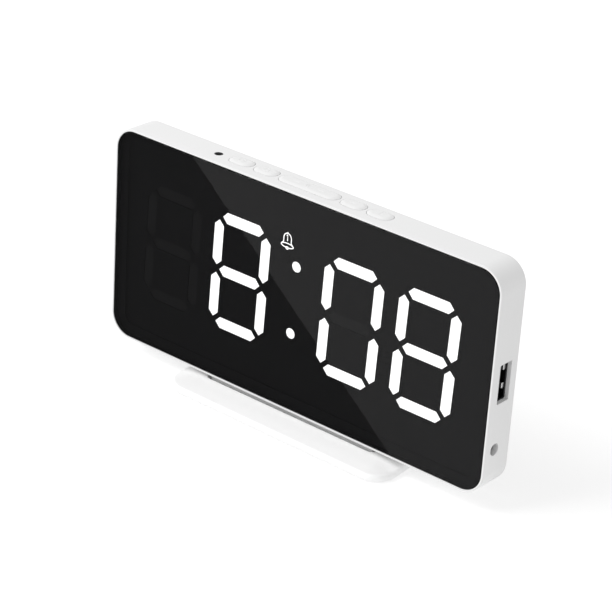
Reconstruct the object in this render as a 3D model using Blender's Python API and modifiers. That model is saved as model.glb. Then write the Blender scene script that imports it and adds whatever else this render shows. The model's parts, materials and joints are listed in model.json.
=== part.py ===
"""Mirror-front desk alarm clock on a low foot: housing, display, boards, buttons, sockets and battery."""

from math import atan, cos, pi, radians, sin, tan

import bmesh
import bpy

# Case, in metres. The body frame has X to the right, Y from the front face to the back, and Z up the case.
CASE_WIDTH = 0.160
CASE_HEIGHT = 0.077
CASE_CORNER = 0.0082
CASE_WALL = 0.0020
BACK_ROUND = 0.0010
FRONT_ROUND = 0.00025
SMALL_ROUND = 0.0002
STUB_ROUND = 0.0003
LEAN_BACK = radians(5.24)
BODY_LIFT = 0.00625

# Clearances, and how far a cutter passes a face or a joined block bites into its neighbour.
GAP = 0.0003
SLIDE_GAP = 0.0003
OVERCUT = 0.001
BITE = 0.0003
FINE_STEP = 0.0001

# Front panel and the glue ring behind it.
RIM = 0.0007
PANEL_THICK = 0.0018
TAPE_THICK = 0.0003
TAPE_WIDTH = 0.0009

# Display: a black frame with light channels, white light guides in them, and a board of lamps behind.
FRAME_THICK = 0.0026
GUIDE_WEB = 0.0004
GUIDE_EDGE = 0.0006
GUIDE_SUNK = 0.0001
FRAME_SKIN = 0.0008
LAMP_HEIGHT = 0.0004
LAMP_SIZE = 0.0020
BOARD_THICK = 0.0010
DISPLAY_TOP = 0.0102

# Digits, all centred on the display's own centre.
DIGIT_CENTRE_X = -0.0014
DIGIT_CENTRE_Z = 0.0001
DIGIT_INNER = 0.0235
DIGIT_OUTER = 0.0536
DIGIT_HALF_SPAN = 0.01015
DIGIT_ROW_RISE = 0.0191
STROKE = 0.0043
STROKE_TIP = 0.0019
BAR_LENGTH = 0.0177
POST_LENGTH = 0.01635
DIGIT_SLANT = tan(radians(1.9))
COLON_RISE = 0.0120
COLON_RADIUS = 0.0019
BELL_X = -0.0053
BELL_RISE = 0.0195
BELL_WIDTH = 0.0056
BELL_HEIGHT = 0.0063
BELL_WAIST = 0.6
BELL_FLARE = 0.16
BELL_SHOULDER = 0.62

# Buttons in the top wall, in one row.
BUTTON_ROW_X = -0.0010
BUTTON_ROW_DEPTH = 0.0067
BUTTON_WIDTH = 0.0057
BUTTON_LENGTH = 0.0090
SNOOZE_LENGTH = 0.0240
BUTTON_SPACE = 0.0016
BUTTON_PROUD = 0.0005
BUTTON_ROUND = 0.0005
BUTTON_LIP = 0.0005
LIP_THICK = 0.0008
BUTTON_TRAVEL = 0.0006
SWITCH_SIZE = 0.0060
SWITCH_HEIGHT = 0.0031
PLUNGER_RADIUS = 0.0016
PLUNGER_PROUD = 0.0012
PLUNGER_SUNK = 0.0011

# Small board under the buttons.
KEY_BOARD_MARGIN = 0.0056
KEY_BOARD_FRONT = 0.0027
KEY_BOARD_BACK = 0.0109

# Light sensor and buzzer on that board.
SENSOR_SPACE = 0.0052
SENSOR_DEPTH = 0.0061
SENSOR_HOLE = 0.00170
SENSOR_RADIUS = 0.00135
SENSOR_SUNK = 0.0009
SENSOR_DOME = 0.0008
SENSOR_FLANGE = 0.0010
SENSOR_FLANGE_REACH = 0.0003
BUZZER_SPACE = 0.0198
BUZZER_SIZE = 0.0085
BUZZER_HEIGHT = 0.0045
BUZZER_HOLE = 0.0010
BUZZER_MOUTH_DEEP = 0.0020
BUZZER_CORNER = 0.0010

# Sockets in the right wall.
USB_RISE = 0.0
USB_DEPTH = 0.0064
USB_OPEN_TALL = 0.0134
USB_OPEN_WIDE = 0.0059
USB_TALL = 0.0131
USB_WIDE = 0.0057
USB_LENGTH = 0.0094
USB_METAL = 0.0003
USB_TONGUE_TALL = 0.0111
USB_TONGUE_THICK = 0.0018
USB_TONGUE_SETBACK = 0.0006
USB_TONGUE_BACK = 0.0006
USB_PIN_WIDTH = 0.0010
USB_PIN_THICK = 0.0002
USB_PIN_RISES = (-0.0035, -0.0010, 0.0010, 0.0035)
USB_LONG_PIN = 0.0072
USB_SHORT_PIN = 0.0062
JACK_RISE = -0.0226
JACK_DEPTH = 0.0048
JACK_HOLE = 0.00205
JACK_SIZE = 0.0050
JACK_LENGTH = 0.0112
JACK_BORE_DEEP = 0.0095
JACK_PIN_RADIUS = 0.00065
JACK_PIN_LENGTH = 0.0080

# Coin cell and its twist-off door in the rear cover.
CELL_X = 0.0300
CELL_RISE = -0.0120
CELL_RADIUS = 0.0100
CELL_THICK = 0.0025
CELL_RIM = 0.0004
CELL_CAP_INSET = 0.0012
CONTACT_THICK = 0.0004
CONTACT_WIDTH = 0.0060
CONTACT_INSET = 0.0020
CONTACT_CORNER = 0.0010
HOLDER_WALL = 0.0015
DOOR_RADIUS = 0.0118
DOOR_SLOT_LENGTH = 0.0110
DOOR_SLOT_WIDTH = 0.0016
DOOR_SLOT_DEEP = 0.0008
DOOR_WALL = 0.0007
DOOR_HUB_DEEP = 0.0010
LUG_REACH = 0.0013
LUG_WIDTH = 0.0050
LUG_THICK = 0.0006
DOOR_TWIST = radians(45)

# Rear cover, its posts, grille and screws.
COVER_THICK = 0.0015
COVER_SUNK = 0.0002
DOOR_SUNK = 0.0001
POST_RADIUS = 0.0018
POST_PLACES = ((-0.060, 0.020), (-0.060, -0.022), (0.0, 0.020), (-0.010, -0.022), (0.056, 0.020))
GRILLE_HOLE = 0.0008
GRILLE_PITCH = 0.0030
GRILLE_COLUMNS = 5
GRILLE_ROWS = 2
GRILLE_DROP = 0.0058
SCREW_INSET_X = 0.0050
SCREW_INSET_Z = 0.0052
BOSS_SIZE = 0.0070
BOSS_FRONT = 0.0030
COVER_SCREW_HEAD = 0.0021
COVER_SCREW_SHANK = 0.0010
COVER_SCREW_LENGTH = 0.0060
SCREW_HEAD_THICK = 0.0006
BOARD_SCREW_HEAD = 0.0016
BOARD_SCREW_SHANK = 0.0008
BOARD_SCREW_LENGTH = 0.0042
BOARD_SCREW_X = 0.0730
BOARD_SCREW_RISES = (-0.0130, 0.0210)
CROSS_DEEP = 0.0003
CROSS_WIDTH = 0.0005

# Parts on the back of the display board.
CHIP_SIZE = 0.0100
CHIP_THICK = 0.0016
CHIP_X = -0.0350
CHIP_RISE = 0.0030
CRYSTAL_LENGTH = 0.0080
CRYSTAL_WIDTH = 0.0030
CRYSTAL_THICK = 0.0020
CRYSTAL_X = -0.0200
RIBBON_WIDTH = 0.0120
RIBBON_LENGTH = 0.0070
RIBBON_THICK = 0.0003
RIBBON_X = 0.0200

# Foot: a low plate with a well that the case's tongue stands in.
FOOT_WIDTH = 0.0944
FOOT_DEPTH = 0.0440
FOOT_FRONT = 0.0085
FOOT_CORNER = 0.0080
FOOT_LEAST_CORNER = 0.0015
FOOT_CHAMFER = 0.0006
FOOT_ROUND = 0.0012
FOOT_SLOPE = 0.0080
FOOT_STEPS = 3
FOOT_CLEAR = 0.0003
FOOT_RIM_HEIGHT = 0.0030
FOOT_HEIGHT = 0.0044
WELL_LENGTH = 0.0731
WELL_FRONT = 0.0016
WELL_DEPTH = 0.0108
WELL_CORNER = 0.0025
WELL_FLOOR = 0.0012
TONGUE_SIDE_GAP = 0.0015
TONGUE_FRONT = 0.0040
TONGUE_BACK = 0.0110
TONGUE_CLEAR = 0.0003
PAD_RADIUS = 0.0035
PAD_THICK = 0.0010
PAD_SUNK = 0.0007
PAD_INSET_X = 0.0092
PAD_INSET_Y = 0.0058

# Facets, and the distance under which points are one.
SAME_POINT = 0.000001
TURNED_SAME_POINT = 0.00001
ARC_STEPS = 8
ROUND_STEPS = 20
SMALL_STEPS = 12
HOLE_STEPS = 8
CELL_STEPS = 32
DOOR_STEPS = 40
CORNER_STEPS = 3

# Depths and heights that follow from the sizes above.
CASE_BOTTOM = 0.0
CASE_MID = CASE_HEIGHT / 2
CASE_TOP = CASE_HEIGHT
INNER_WIDTH = CASE_WIDTH - 2 * CASE_WALL
INNER_HEIGHT = CASE_HEIGHT - 2 * CASE_WALL
INNER_RIGHT = INNER_WIDTH / 2
INNER_TOP = CASE_TOP - CASE_WALL
INNER_BOTTOM = CASE_BOTTOM + CASE_WALL
INNER_CORNER = CASE_CORNER - CASE_WALL
TAPE_FRONT = PANEL_THICK + GAP
REBATE_DEPTH = TAPE_FRONT + TAPE_THICK
FRAME_FRONT = REBATE_DEPTH + GAP
FRAME_BACK = FRAME_FRONT + FRAME_THICK
WEB_FRONT = FRAME_BACK + GAP
WEB_BACK = WEB_FRONT + GUIDE_WEB
LAMP_FRONT = WEB_BACK + GAP
BOARD_FRONT = LAMP_FRONT + LAMP_HEIGHT
BOARD_BACK = BOARD_FRONT + BOARD_THICK
HOLDER_FRONT = BOARD_BACK + GAP
CELL_FRONT = HOLDER_FRONT + CONTACT_THICK + GAP
COVER_FRONT = CELL_FRONT + CELL_THICK + GAP
CASE_DEPTH = COVER_FRONT + COVER_THICK
COVER_BACK = CASE_DEPTH - COVER_SUNK
DOOR_BACK = CASE_DEPTH - DOOR_SUNK
HOLDER_BACK = COVER_FRONT - DOOR_HUB_DEEP - GAP
DISPLAY_CEILING = CASE_TOP - DISPLAY_TOP
DISPLAY_FLOOR = INNER_BOTTOM + GAP
LIP_TOP = INNER_TOP - GAP
LIP_BOTTOM = LIP_TOP - LIP_THICK
CAP_BOTTOM = LIP_BOTTOM - GAP
PLUNGER_TOP = CAP_BOTTOM - GAP
SWITCH_TOP = PLUNGER_TOP - PLUNGER_PROUD
SWITCH_BOTTOM = SWITCH_TOP - SWITCH_HEIGHT
KEY_BOARD_TOP = SWITCH_BOTTOM - GAP
KEY_BOARD_BOTTOM = KEY_BOARD_TOP - BOARD_THICK
USB_Z = CASE_MID + USB_RISE
JACK_Z = CASE_MID + JACK_RISE
SOCKET_MOUTH = INNER_RIGHT - GAP
CELL_Z = CASE_MID + CELL_RISE
DIGIT_Z = CASE_MID + DIGIT_CENTRE_Z
SCREW_X = CASE_WIDTH / 2 - CASE_WALL - SCREW_INSET_X
SCREW_TOP_Z = INNER_TOP - SCREW_INSET_Z
SCREW_BOTTOM_Z = INNER_BOTTOM + SCREW_INSET_Z
FOOT_MID_Y = FOOT_DEPTH / 2 - FOOT_FRONT
OUT_BACK = CASE_DEPTH + OVERCUT

NEAR_X = SNOOZE_LENGTH / 2 + BUTTON_SPACE + BUTTON_LENGTH / 2
FAR_X = NEAR_X + BUTTON_SPACE + BUTTON_LENGTH
BUTTONS = (
    ("time_button", BUTTON_ROW_X - FAR_X, BUTTON_LENGTH),
    ("alarm_button", BUTTON_ROW_X - NEAR_X, BUTTON_LENGTH),
    ("snooze_button", BUTTON_ROW_X, SNOOZE_LENGTH),
    ("down_button", BUTTON_ROW_X + NEAR_X, BUTTON_LENGTH),
    ("up_button", BUTTON_ROW_X + FAR_X, BUTTON_LENGTH),
)
ROW_REACH = FAR_X + BUTTON_LENGTH / 2
SENSOR_X = BUTTON_ROW_X - ROW_REACH - SENSOR_SPACE
BUZZER_X = BUTTON_ROW_X + ROW_REACH + BUZZER_SPACE
KEY_BOARD_LEFT = SENSOR_X - KEY_BOARD_MARGIN
KEY_BOARD_RIGHT = BUZZER_X + BUZZER_SIZE / 2 + KEY_BOARD_MARGIN
DIGITS = (-DIGIT_OUTER, -DIGIT_INNER, DIGIT_INNER, DIGIT_OUTER)

# Turns that lay a flat outline into the front, top or side plane.
PLANES = {
    "front": (radians(90), 0.0, 0.0),
    "top": (0.0, 0.0, 0.0),
    "side": (radians(90), 0.0, radians(90)),
}

COLOURS = {
    "white_shell": ((0.86, 0.86, 0.86), 0.42, 0.0),
    "white_button": ((0.84, 0.84, 0.84), 0.40, 0.0),
    "smoked_acrylic": ((0.012, 0.012, 0.013), 0.04, 0.0),
    "glue_tape": ((0.03, 0.03, 0.03), 0.60, 0.0),
    "black_moulding": ((0.02, 0.02, 0.02), 0.50, 0.0),
    "milky_guide": ((0.90, 0.90, 0.88), 0.35, 0.0),
    "circuit_board": ((0.02, 0.16, 0.07), 0.35, 0.0),
    "black_chip": ((0.02, 0.02, 0.02), 0.40, 0.0),
    "bright_steel": ((0.62, 0.62, 0.60), 0.25, 1.0),
    "gold_contact": ((0.85, 0.70, 0.40), 0.25, 1.0),
    "sensor_lens": ((0.03, 0.02, 0.02), 0.10, 0.0),
    "ribbon": ((0.75, 0.72, 0.60), 0.45, 0.0),
    "rubber": ((0.05, 0.05, 0.05), 0.80, 0.0),
}


def clear_scene():
    for thing in list(bpy.data.objects):
        bpy.data.objects.remove(thing)


def new_collection(name):
    collection = bpy.data.collections.new(name)
    bpy.context.scene.collection.children.link(collection)
    return collection


def finish_named(name):
    """The finish of this name, made once."""
    found = bpy.data.materials.get(name)
    if found:
        return found
    colour, roughness, metallic = COLOURS[name]
    finish = bpy.data.materials.new(name)
    finish.use_nodes = True
    shader = finish.node_tree.nodes["Principled BSDF"]
    shader.inputs["Base Color"].default_value = (*colour, 1.0)
    shader.inputs["Roughness"].default_value = roughness
    shader.inputs["Metallic"].default_value = metallic
    return finish


def rectangle(x, y, width, height):
    half_x = width / 2
    half_y = height / 2
    corners = ((-1, -1), (1, -1), (1, 1), (-1, 1))
    return [(x + side_x * half_x, y + side_y * half_y) for side_x, side_y in corners]


def circle(x, y, radius, steps=ROUND_STEPS):
    turns = [2 * pi * i / steps for i in range(steps)]
    return [(x + radius * cos(turn), y + radius * sin(turn)) for turn in turns]


def rounded_rectangle(x, y, width, height, corner, steps=ARC_STEPS):
    """Outline with quarter-round corners, counter-clockwise from the right side."""
    points = []
    for turn, (side_x, side_y) in enumerate(((1, 1), (-1, 1), (-1, -1), (1, -1))):
        centre_x = x + side_x * (width / 2 - corner)
        centre_y = y + side_y * (height / 2 - corner)
        for i in range(steps + 1):
            angle = (turn + i / steps) * pi / 2
            points.append((centre_x + corner * cos(angle), centre_y + corner * sin(angle)))
    return points


def pill(x, y, length, width, steps=ARC_STEPS):
    """Outline of a slot with round ends."""
    points = []
    straight = (length - width) / 2
    for side in (1, -1):
        for i in range(steps + 1):
            angle = (i / steps - 0.5) * pi
            along = straight + width / 2 * cos(angle)
            points.append((x + side * along, y + side * width / 2 * sin(angle)))
    return points


def bar(x, y, length, width, tip, upright):
    """A display segment: a bar with pointed ends."""
    along = length / 2
    across = width / 2
    flat = [(-along, 0), (-along + tip, -across), (along - tip, -across), (along, 0)]
    flat += [(along - tip, across), (-along + tip, across)]
    if upright:
        return [(x - across_way, y + along_way) for along_way, across_way in flat]
    return [(x + along_way, y + across_way) for along_way, across_way in flat]


def slanted(points, base):
    """The points leaned to the right about the height base."""
    return [(x + (y - base) * DIGIT_SLANT, y) for x, y in points]


def digit_bars(centre_x, swell):
    """The seven segments of a digit, each grown by swell all round."""
    outlines = []
    width = STROKE + 2 * swell
    tip = STROKE_TIP + swell
    for row in (-1, 0, 1):
        z = DIGIT_Z + row * DIGIT_ROW_RISE
        outlines.append(bar(centre_x, z, BAR_LENGTH + 2 * swell, width, tip, False))
    for side in (-1, 1):
        for row in (-0.5, 0.5):
            x = centre_x + side * DIGIT_HALF_SPAN
            z = DIGIT_Z + row * DIGIT_ROW_RISE
            outlines.append(bar(x, z, POST_LENGTH + 2 * swell, width, tip, True))
    return [slanted(outline, DIGIT_Z) for outline in outlines]


def bell_outline(swell):
    """A plain bell, grown by swell: round top, flared sides, flat mouth."""
    mouth = CASE_MID + BELL_RISE - BELL_HEIGHT / 2
    half = BELL_WIDTH / 2 + swell
    waist = BELL_WIDTH * BELL_WAIST / 2 + swell
    flare = mouth + BELL_HEIGHT * BELL_FLARE + swell
    neck = flare + BELL_HEIGHT * BELL_FLARE
    shoulder = mouth + BELL_HEIGHT * BELL_SHOULDER
    crown = BELL_HEIGHT * (1 - BELL_SHOULDER) + swell
    points = [(BELL_X - half, mouth - swell), (BELL_X + half, mouth - swell), (BELL_X + half, flare)]
    points.append((BELL_X + waist, neck))
    for i in range(ARC_STEPS + 1):
        angle = pi * i / ARC_STEPS
        points.append((BELL_X + waist * cos(angle), shoulder + crown * sin(angle)))
    points += [(BELL_X - waist, neck), (BELL_X - half, flare)]
    return points


def colon_dots(swell):
    dots = []
    for side in (-1, 1):
        z = DIGIT_Z + side * COLON_RISE
        x = DIGIT_CENTRE_X + side * COLON_RISE * DIGIT_SLANT
        dots.append(circle(x, z, COLON_RADIUS + swell))
    return dots


class Bench:
    """Holds the collections and the leaning frame that the pieces are built on."""

    def __init__(self):
        self.parts = new_collection("desk_alarm_clock")
        self.tools = new_collection("cutters")
        self.body = bpy.data.objects.new("body_frame", None)
        self.parts.objects.link(self.body)
        self.body.location = (0.0, -FOOT_MID_Y, BODY_LIFT)
        self.body.rotation_euler = (-LEAN_BACK, 0.0, 0.0)

    def add(self, name, mesh, finish, parent, rotation=(0.0, 0.0, 0.0), location=(0.0, 0.0, 0.0)):
        """A new object: a piece if it has a finish, otherwise a hidden cutter."""
        thing = bpy.data.objects.new(name, mesh)
        thing.parent = parent
        thing.rotation_euler = rotation
        thing.location = location
        if finish:
            self.parts.objects.link(thing)
            mesh.materials.append(finish_named(finish))
        else:
            self.tools.objects.link(thing)
            thing.hide_render = True
            thing.display_type = "WIRE"
        return thing

    def plate(self, name, outlines, plane, low, high, finish=None, parent="body"):
        """Outlines in a plane, made solid from low to high along the plane's normal."""
        curve = bpy.data.curves.new(name, "CURVE")
        curve.dimensions = "2D"
        curve.fill_mode = "BOTH"
        curve.extrude = (high - low) / 2
        for outline in outlines:
            spline = curve.splines.new("POLY")
            spline.points.add(len(outline) - 1)
            for point, (x, y) in zip(spline.points, outline):
                point.co = (x, y, 0.0, 1.0)
            spline.use_cyclic_u = True
        holder = bpy.data.objects.new(name + "_outline", curve)
        self.tools.objects.link(holder)
        bpy.context.view_layer.update()
        mesh = bpy.data.meshes.new_from_object(holder.evaluated_get(bpy.context.evaluated_depsgraph_get()))
        bpy.data.objects.remove(holder)
        bpy.data.curves.remove(curve)
        weld(mesh)
        middle = (high + low) / 2
        place = {"front": (0.0, middle, 0.0), "top": (0.0, 0.0, middle), "side": (middle, 0.0, 0.0)}[plane]
        anchor = self.body if parent == "body" else None
        return self.add(name, mesh, finish, anchor, PLANES[plane], place)

    def turned(self, name, profile, axis_turn, place, finish=None, steps=SMALL_STEPS, parent="body"):
        """A solid of revolution: profile points are (radius, height), from the top to the bottom."""
        mesh = bpy.data.meshes.new(name)
        points = [(radius, 0.0, height) for radius, height in profile]
        mesh.from_pydata(points, [(i, i + 1) for i in range(len(points) - 1)], [])
        anchor = self.body if parent == "body" else None
        thing = self.add(name, mesh, finish, anchor, axis_turn, place)
        spin = thing.modifiers.new("turn", "SCREW")
        spin.axis = "Z"
        spin.steps = steps
        spin.render_steps = steps
        spin.use_merge_vertices = True
        spin.merge_threshold = TURNED_SAME_POINT
        spin.use_smooth_shade = True
        return thing


def weld(mesh):
    work = bmesh.new()
    work.from_mesh(mesh)
    bmesh.ops.remove_doubles(work, verts=work.verts, dist=SAME_POINT)
    bmesh.ops.recalc_face_normals(work, faces=work.faces)
    bmesh.ops.dissolve_limit(work, angle_limit=radians(0.5), verts=work.verts, edges=work.edges)
    work.to_mesh(mesh)
    work.free()


def combine(thing, other, operation):
    step = thing.modifiers.new(operation.lower(), "BOOLEAN")
    step.operation = operation
    step.solver = "EXACT"
    step.object = other


def cut(thing, other):
    combine(thing, other, "DIFFERENCE")


def join(thing, other):
    combine(thing, other, "UNION")


def soften(thing, width, low_share, high_share):
    """Rounds the outline's edges at the low and the high end of the extrusion, each by a share of width."""
    mesh = thing.data
    shares = mesh.attributes.new("bevel_weight_edge", "FLOAT", "EDGE")
    middle = sum(vertex.co.z for vertex in mesh.vertices) / len(mesh.vertices)
    for edge in mesh.edges:
        heights = [mesh.vertices[i].co.z for i in edge.vertices]
        if max(heights) < middle:
            shares.data[edge.index].value = low_share
        elif min(heights) > middle:
            shares.data[edge.index].value = high_share
    rounding = thing.modifiers.new("rounding", "BEVEL")
    rounding.width = width
    rounding.segments = 3
    rounding.limit_method = "WEIGHT"
    rounding.affect = "EDGES"
    rounding.use_clamp_overlap = True


def make_housing(bench):
    """The white shell: an open-backed tray with the rim, all sockets' openings and the tongue under it."""
    outer = rounded_rectangle(0, CASE_MID, CASE_WIDTH, CASE_HEIGHT, CASE_CORNER)
    housing = bench.plate("front_housing", [outer], "front", 0.0, CASE_DEPTH, "white_shell")
    # The extrusion's high end is the front of the case in this plane.
    soften(housing, BACK_ROUND, 1.0, FRONT_ROUND / BACK_ROUND)
    opening = rounded_rectangle(0, CASE_MID, CASE_WIDTH - 2 * RIM, CASE_HEIGHT - 2 * RIM, CASE_CORNER - RIM)
    cut(housing, bench.plate("rebate_cut", [opening], "front", -OVERCUT, REBATE_DEPTH))
    inside = rounded_rectangle(0, CASE_MID, INNER_WIDTH, INNER_HEIGHT, INNER_CORNER)
    cut(housing, bench.plate("inside_cut", [inside], "front", -2 * OVERCUT, OUT_BACK))

    blocks = []
    bores = []
    for side in (-1, 1):
        for z, way in ((SCREW_BOTTOM_Z, -1), (SCREW_TOP_Z, 1)):
            reach = BOSS_SIZE / 2
            blocks.append(rectangle(side * (SCREW_X + reach / 2), z + way * reach / 2, BOSS_SIZE, BOSS_SIZE))
            bores.append(circle(side * SCREW_X, z, COVER_SCREW_SHANK + GAP, SMALL_STEPS))
    trimmed = bench.plate("boss_blocks", blocks, "front", BOSS_FRONT, COVER_FRONT - GAP)
    keep_width = INNER_WIDTH + 2 * BITE
    keep_height = INNER_HEIGHT + 2 * BITE
    keep = rounded_rectangle(0, CASE_MID, keep_width, keep_height, INNER_CORNER + BITE)
    combine(trimmed, bench.plate("boss_limit", [keep], "front", 0.0, CASE_DEPTH), "INTERSECT")
    join(housing, trimmed)
    cut(housing, bench.plate("boss_bores", bores, "front", BOSS_FRONT + BITE + GAP, OUT_BACK))

    tongue_long = WELL_LENGTH - 2 * TONGUE_SIDE_GAP
    tongue = rectangle(0, (TONGUE_FRONT + TONGUE_BACK) / 2, tongue_long, TONGUE_BACK - TONGUE_FRONT)
    join(housing, bench.plate("tongue_block", [tongue], "top", tongue_bottom(), CASE_BOTTOM + CASE_WALL / 2))

    holes = []
    for _, x, length in BUTTONS:
        holes.append(pill(x, BUTTON_ROW_DEPTH, length + 2 * SLIDE_GAP, BUTTON_WIDTH + 2 * SLIDE_GAP))
    holes.append(circle(SENSOR_X, SENSOR_DEPTH, SENSOR_HOLE))
    cut(housing, bench.plate("top_openings", holes, "top", INNER_TOP - BITE, CASE_TOP + OVERCUT))
    sockets = [rectangle(USB_DEPTH, USB_Z, USB_OPEN_WIDE, USB_OPEN_TALL)]
    sockets.append(circle(JACK_DEPTH, JACK_Z, JACK_HOLE))
    cut(housing, bench.plate("side_openings", sockets, "side", INNER_RIGHT - BITE, CASE_WIDTH / 2 + OVERCUT))
    return housing


def tongue_bottom():
    """The tongue's end in the body frame, so that its lowest edge clears the well's floor."""
    drop = TONGUE_BACK * sin(LEAN_BACK)
    return (WELL_FLOOR + TONGUE_CLEAR + drop - BODY_LIFT) / cos(LEAN_BACK)


def make_panel(bench):
    width = CASE_WIDTH - 2 * RIM - 2 * GAP
    height = CASE_HEIGHT - 2 * RIM - 2 * GAP
    corner = CASE_CORNER - RIM - GAP
    outline = rounded_rectangle(0, CASE_MID, width, height, corner)
    panel = bench.plate("front_panel", [outline], "front", 0.0, PANEL_THICK, "smoked_acrylic")
    soften(panel, FRONT_ROUND, 0.0, 1.0)
    inner_width = width - 2 * TAPE_WIDTH
    inner_height = height - 2 * TAPE_WIDTH
    inner = rounded_rectangle(0, CASE_MID, inner_width, inner_height, corner - TAPE_WIDTH)
    bench.plate("panel_tape", [outline, inner], "front", TAPE_FRONT, TAPE_FRONT + TAPE_THICK, "glue_tape")


def board_plate(bench, name, low, high, finish):
    """A plate that fills the case, notched for the lower screw bosses and for the two sockets."""
    half = INNER_RIGHT - GAP
    middle = (DISPLAY_FLOOR + DISPLAY_CEILING) / 2
    blank = rectangle(0, middle, 2 * half, DISPLAY_CEILING - DISPLAY_FLOOR)
    plate = bench.plate(name, [blank], "front", low, high, finish)
    notch = 2 * BOSS_SIZE
    notch_x = SCREW_X - BOSS_SIZE / 4 - GAP + notch / 2
    notch_z = SCREW_BOTTOM_Z + BOSS_SIZE / 4 + GAP - notch / 2
    notches = [rectangle(side * notch_x, notch_z, notch, notch) for side in (-1, 1)]
    notches.append(rectangle(SOCKET_MOUTH, USB_Z, 2 * (USB_LENGTH + GAP), USB_TALL + 2 * GAP))
    notches.append(rectangle(SOCKET_MOUTH, JACK_Z, 2 * (JACK_LENGTH + GAP), JACK_SIZE + 2 * GAP))
    cut(plate, bench.plate(name + "_notches", notches, "front", low - OVERCUT, high + OVERCUT))
    return plate


def board_screw_places():
    return [(side * BOARD_SCREW_X, CASE_MID + rise) for side in (-1, 1) for rise in BOARD_SCREW_RISES]


def make_display(bench):
    """The black frame, one light guide for each digit, one for the colon and one for the bell sign."""
    channels = []
    for offset in DIGITS:
        channels += digit_bars(DIGIT_CENTRE_X + offset, GAP)
    channels += colon_dots(GAP)
    channels.append(bell_outline(GAP))
    frame = board_plate(bench, "display_frame", FRAME_FRONT, FRAME_BACK, "black_moulding")
    cut(frame, bench.plate("light_channels", channels, "front", FRAME_FRONT - OVERCUT, FRAME_BACK + OVERCUT))
    bores = [circle(x, z, BOARD_SCREW_SHANK + GAP, SMALL_STEPS) for x, z in board_screw_places()]
    cut(frame, bench.plate("frame_bores", bores, "front", FRAME_FRONT + FRAME_SKIN, FRAME_BACK + OVERCUT))

    guide_front = FRAME_FRONT + GUIDE_SUNK
    block_back = WEB_BACK - FINE_STEP
    web_width = 2 * DIGIT_HALF_SPAN + STROKE + 2 * GUIDE_EDGE
    web_height = 2 * DIGIT_ROW_RISE + STROKE + 2 * GUIDE_EDGE
    for number, offset in enumerate(DIGITS, start=1):
        centre = DIGIT_CENTRE_X + offset
        web = slanted(rectangle(centre, DIGIT_Z, web_width, web_height), DIGIT_Z)
        guide = bench.plate(f"digit_guide_{number}", [web], "front", WEB_FRONT, WEB_BACK, "milky_guide")
        name = f"digit_blocks_{number}"
        blocks = bench.plate(name, digit_bars(centre, 0), "front", guide_front, block_back)
        join(guide, blocks)
    dot_width = 2 * COLON_RADIUS + 2 * GUIDE_EDGE
    web = rectangle(DIGIT_CENTRE_X, DIGIT_Z, dot_width, 2 * COLON_RISE + dot_width)
    guide = bench.plate("colon_guide", [web], "front", WEB_FRONT, WEB_BACK, "milky_guide")
    join(guide, bench.plate("colon_blocks", colon_dots(0), "front", guide_front, block_back))
    web = rectangle(BELL_X, CASE_MID + BELL_RISE, BELL_WIDTH + GUIDE_EDGE, BELL_HEIGHT + GUIDE_EDGE)
    guide = bench.plate("bell_guide", [web], "front", WEB_FRONT, WEB_BACK, "milky_guide")
    join(guide, bench.plate("bell_block", [bell_outline(0)], "front", guide_front, block_back))


def lamp_places():
    """One lamp behind each segment, dot and sign."""
    places = []
    for offset in DIGITS:
        centre = DIGIT_CENTRE_X + offset
        spots = [(centre, DIGIT_Z + row * DIGIT_ROW_RISE) for row in (-1, 0, 1)]
        for side in (-1, 1):
            x = centre + side * DIGIT_HALF_SPAN
            spots += [(x, DIGIT_Z + row * DIGIT_ROW_RISE) for row in (-0.5, 0.5)]
        places += slanted(spots, DIGIT_Z)
    places += [(DIGIT_CENTRE_X, DIGIT_Z + side * COLON_RISE) for side in (-1, 1)]
    places.append((BELL_X, CASE_MID + BELL_RISE))
    return places


def make_display_board(bench):
    board = board_plate(bench, "display_board", BOARD_FRONT, BOARD_BACK, "circuit_board")
    bores = [circle(x, z, BOARD_SCREW_SHANK + GAP, SMALL_STEPS) for x, z in board_screw_places()]
    cut(board, bench.plate("board_bores", bores, "front", BOARD_FRONT - OVERCUT, BOARD_BACK + OVERCUT))
    lamps = [rectangle(x, z, LAMP_SIZE, LAMP_SIZE) for x, z in lamp_places()]
    join(board, bench.plate("lamps", lamps, "front", LAMP_FRONT, BOARD_FRONT + BITE))
    for number, (x, z) in enumerate(board_screw_places(), start=1):
        name = f"board_screw_{number}"
        head = BOARD_BACK + GAP + SCREW_HEAD_THICK
        make_screw(bench, name, x, z, head, BOARD_SCREW_HEAD, BOARD_SCREW_SHANK, BOARD_SCREW_LENGTH)

    back = BOARD_BACK + GAP
    chip = rectangle(CHIP_X, CASE_MID + CHIP_RISE, CHIP_SIZE, CHIP_SIZE)
    controller = bench.plate("controller_chip", [chip], "front", back, back + CHIP_THICK, "black_chip")
    soften(controller, SMALL_ROUND, 1.0, 0.0)
    can = pill(CRYSTAL_X, CASE_MID + CHIP_RISE, CRYSTAL_LENGTH, CRYSTAL_WIDTH)
    crystal = bench.plate("crystal_can", [can], "front", back, back + CRYSTAL_THICK, "bright_steel")
    soften(crystal, STUB_ROUND, 1.0, 0.0)
    ribbon = rectangle(RIBBON_X, KEY_BOARD_BOTTOM - GAP - RIBBON_LENGTH / 2, RIBBON_WIDTH, RIBBON_LENGTH)
    bench.plate("ribbon_cable", [ribbon], "front", back, back + RIBBON_THICK, "ribbon")


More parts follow.
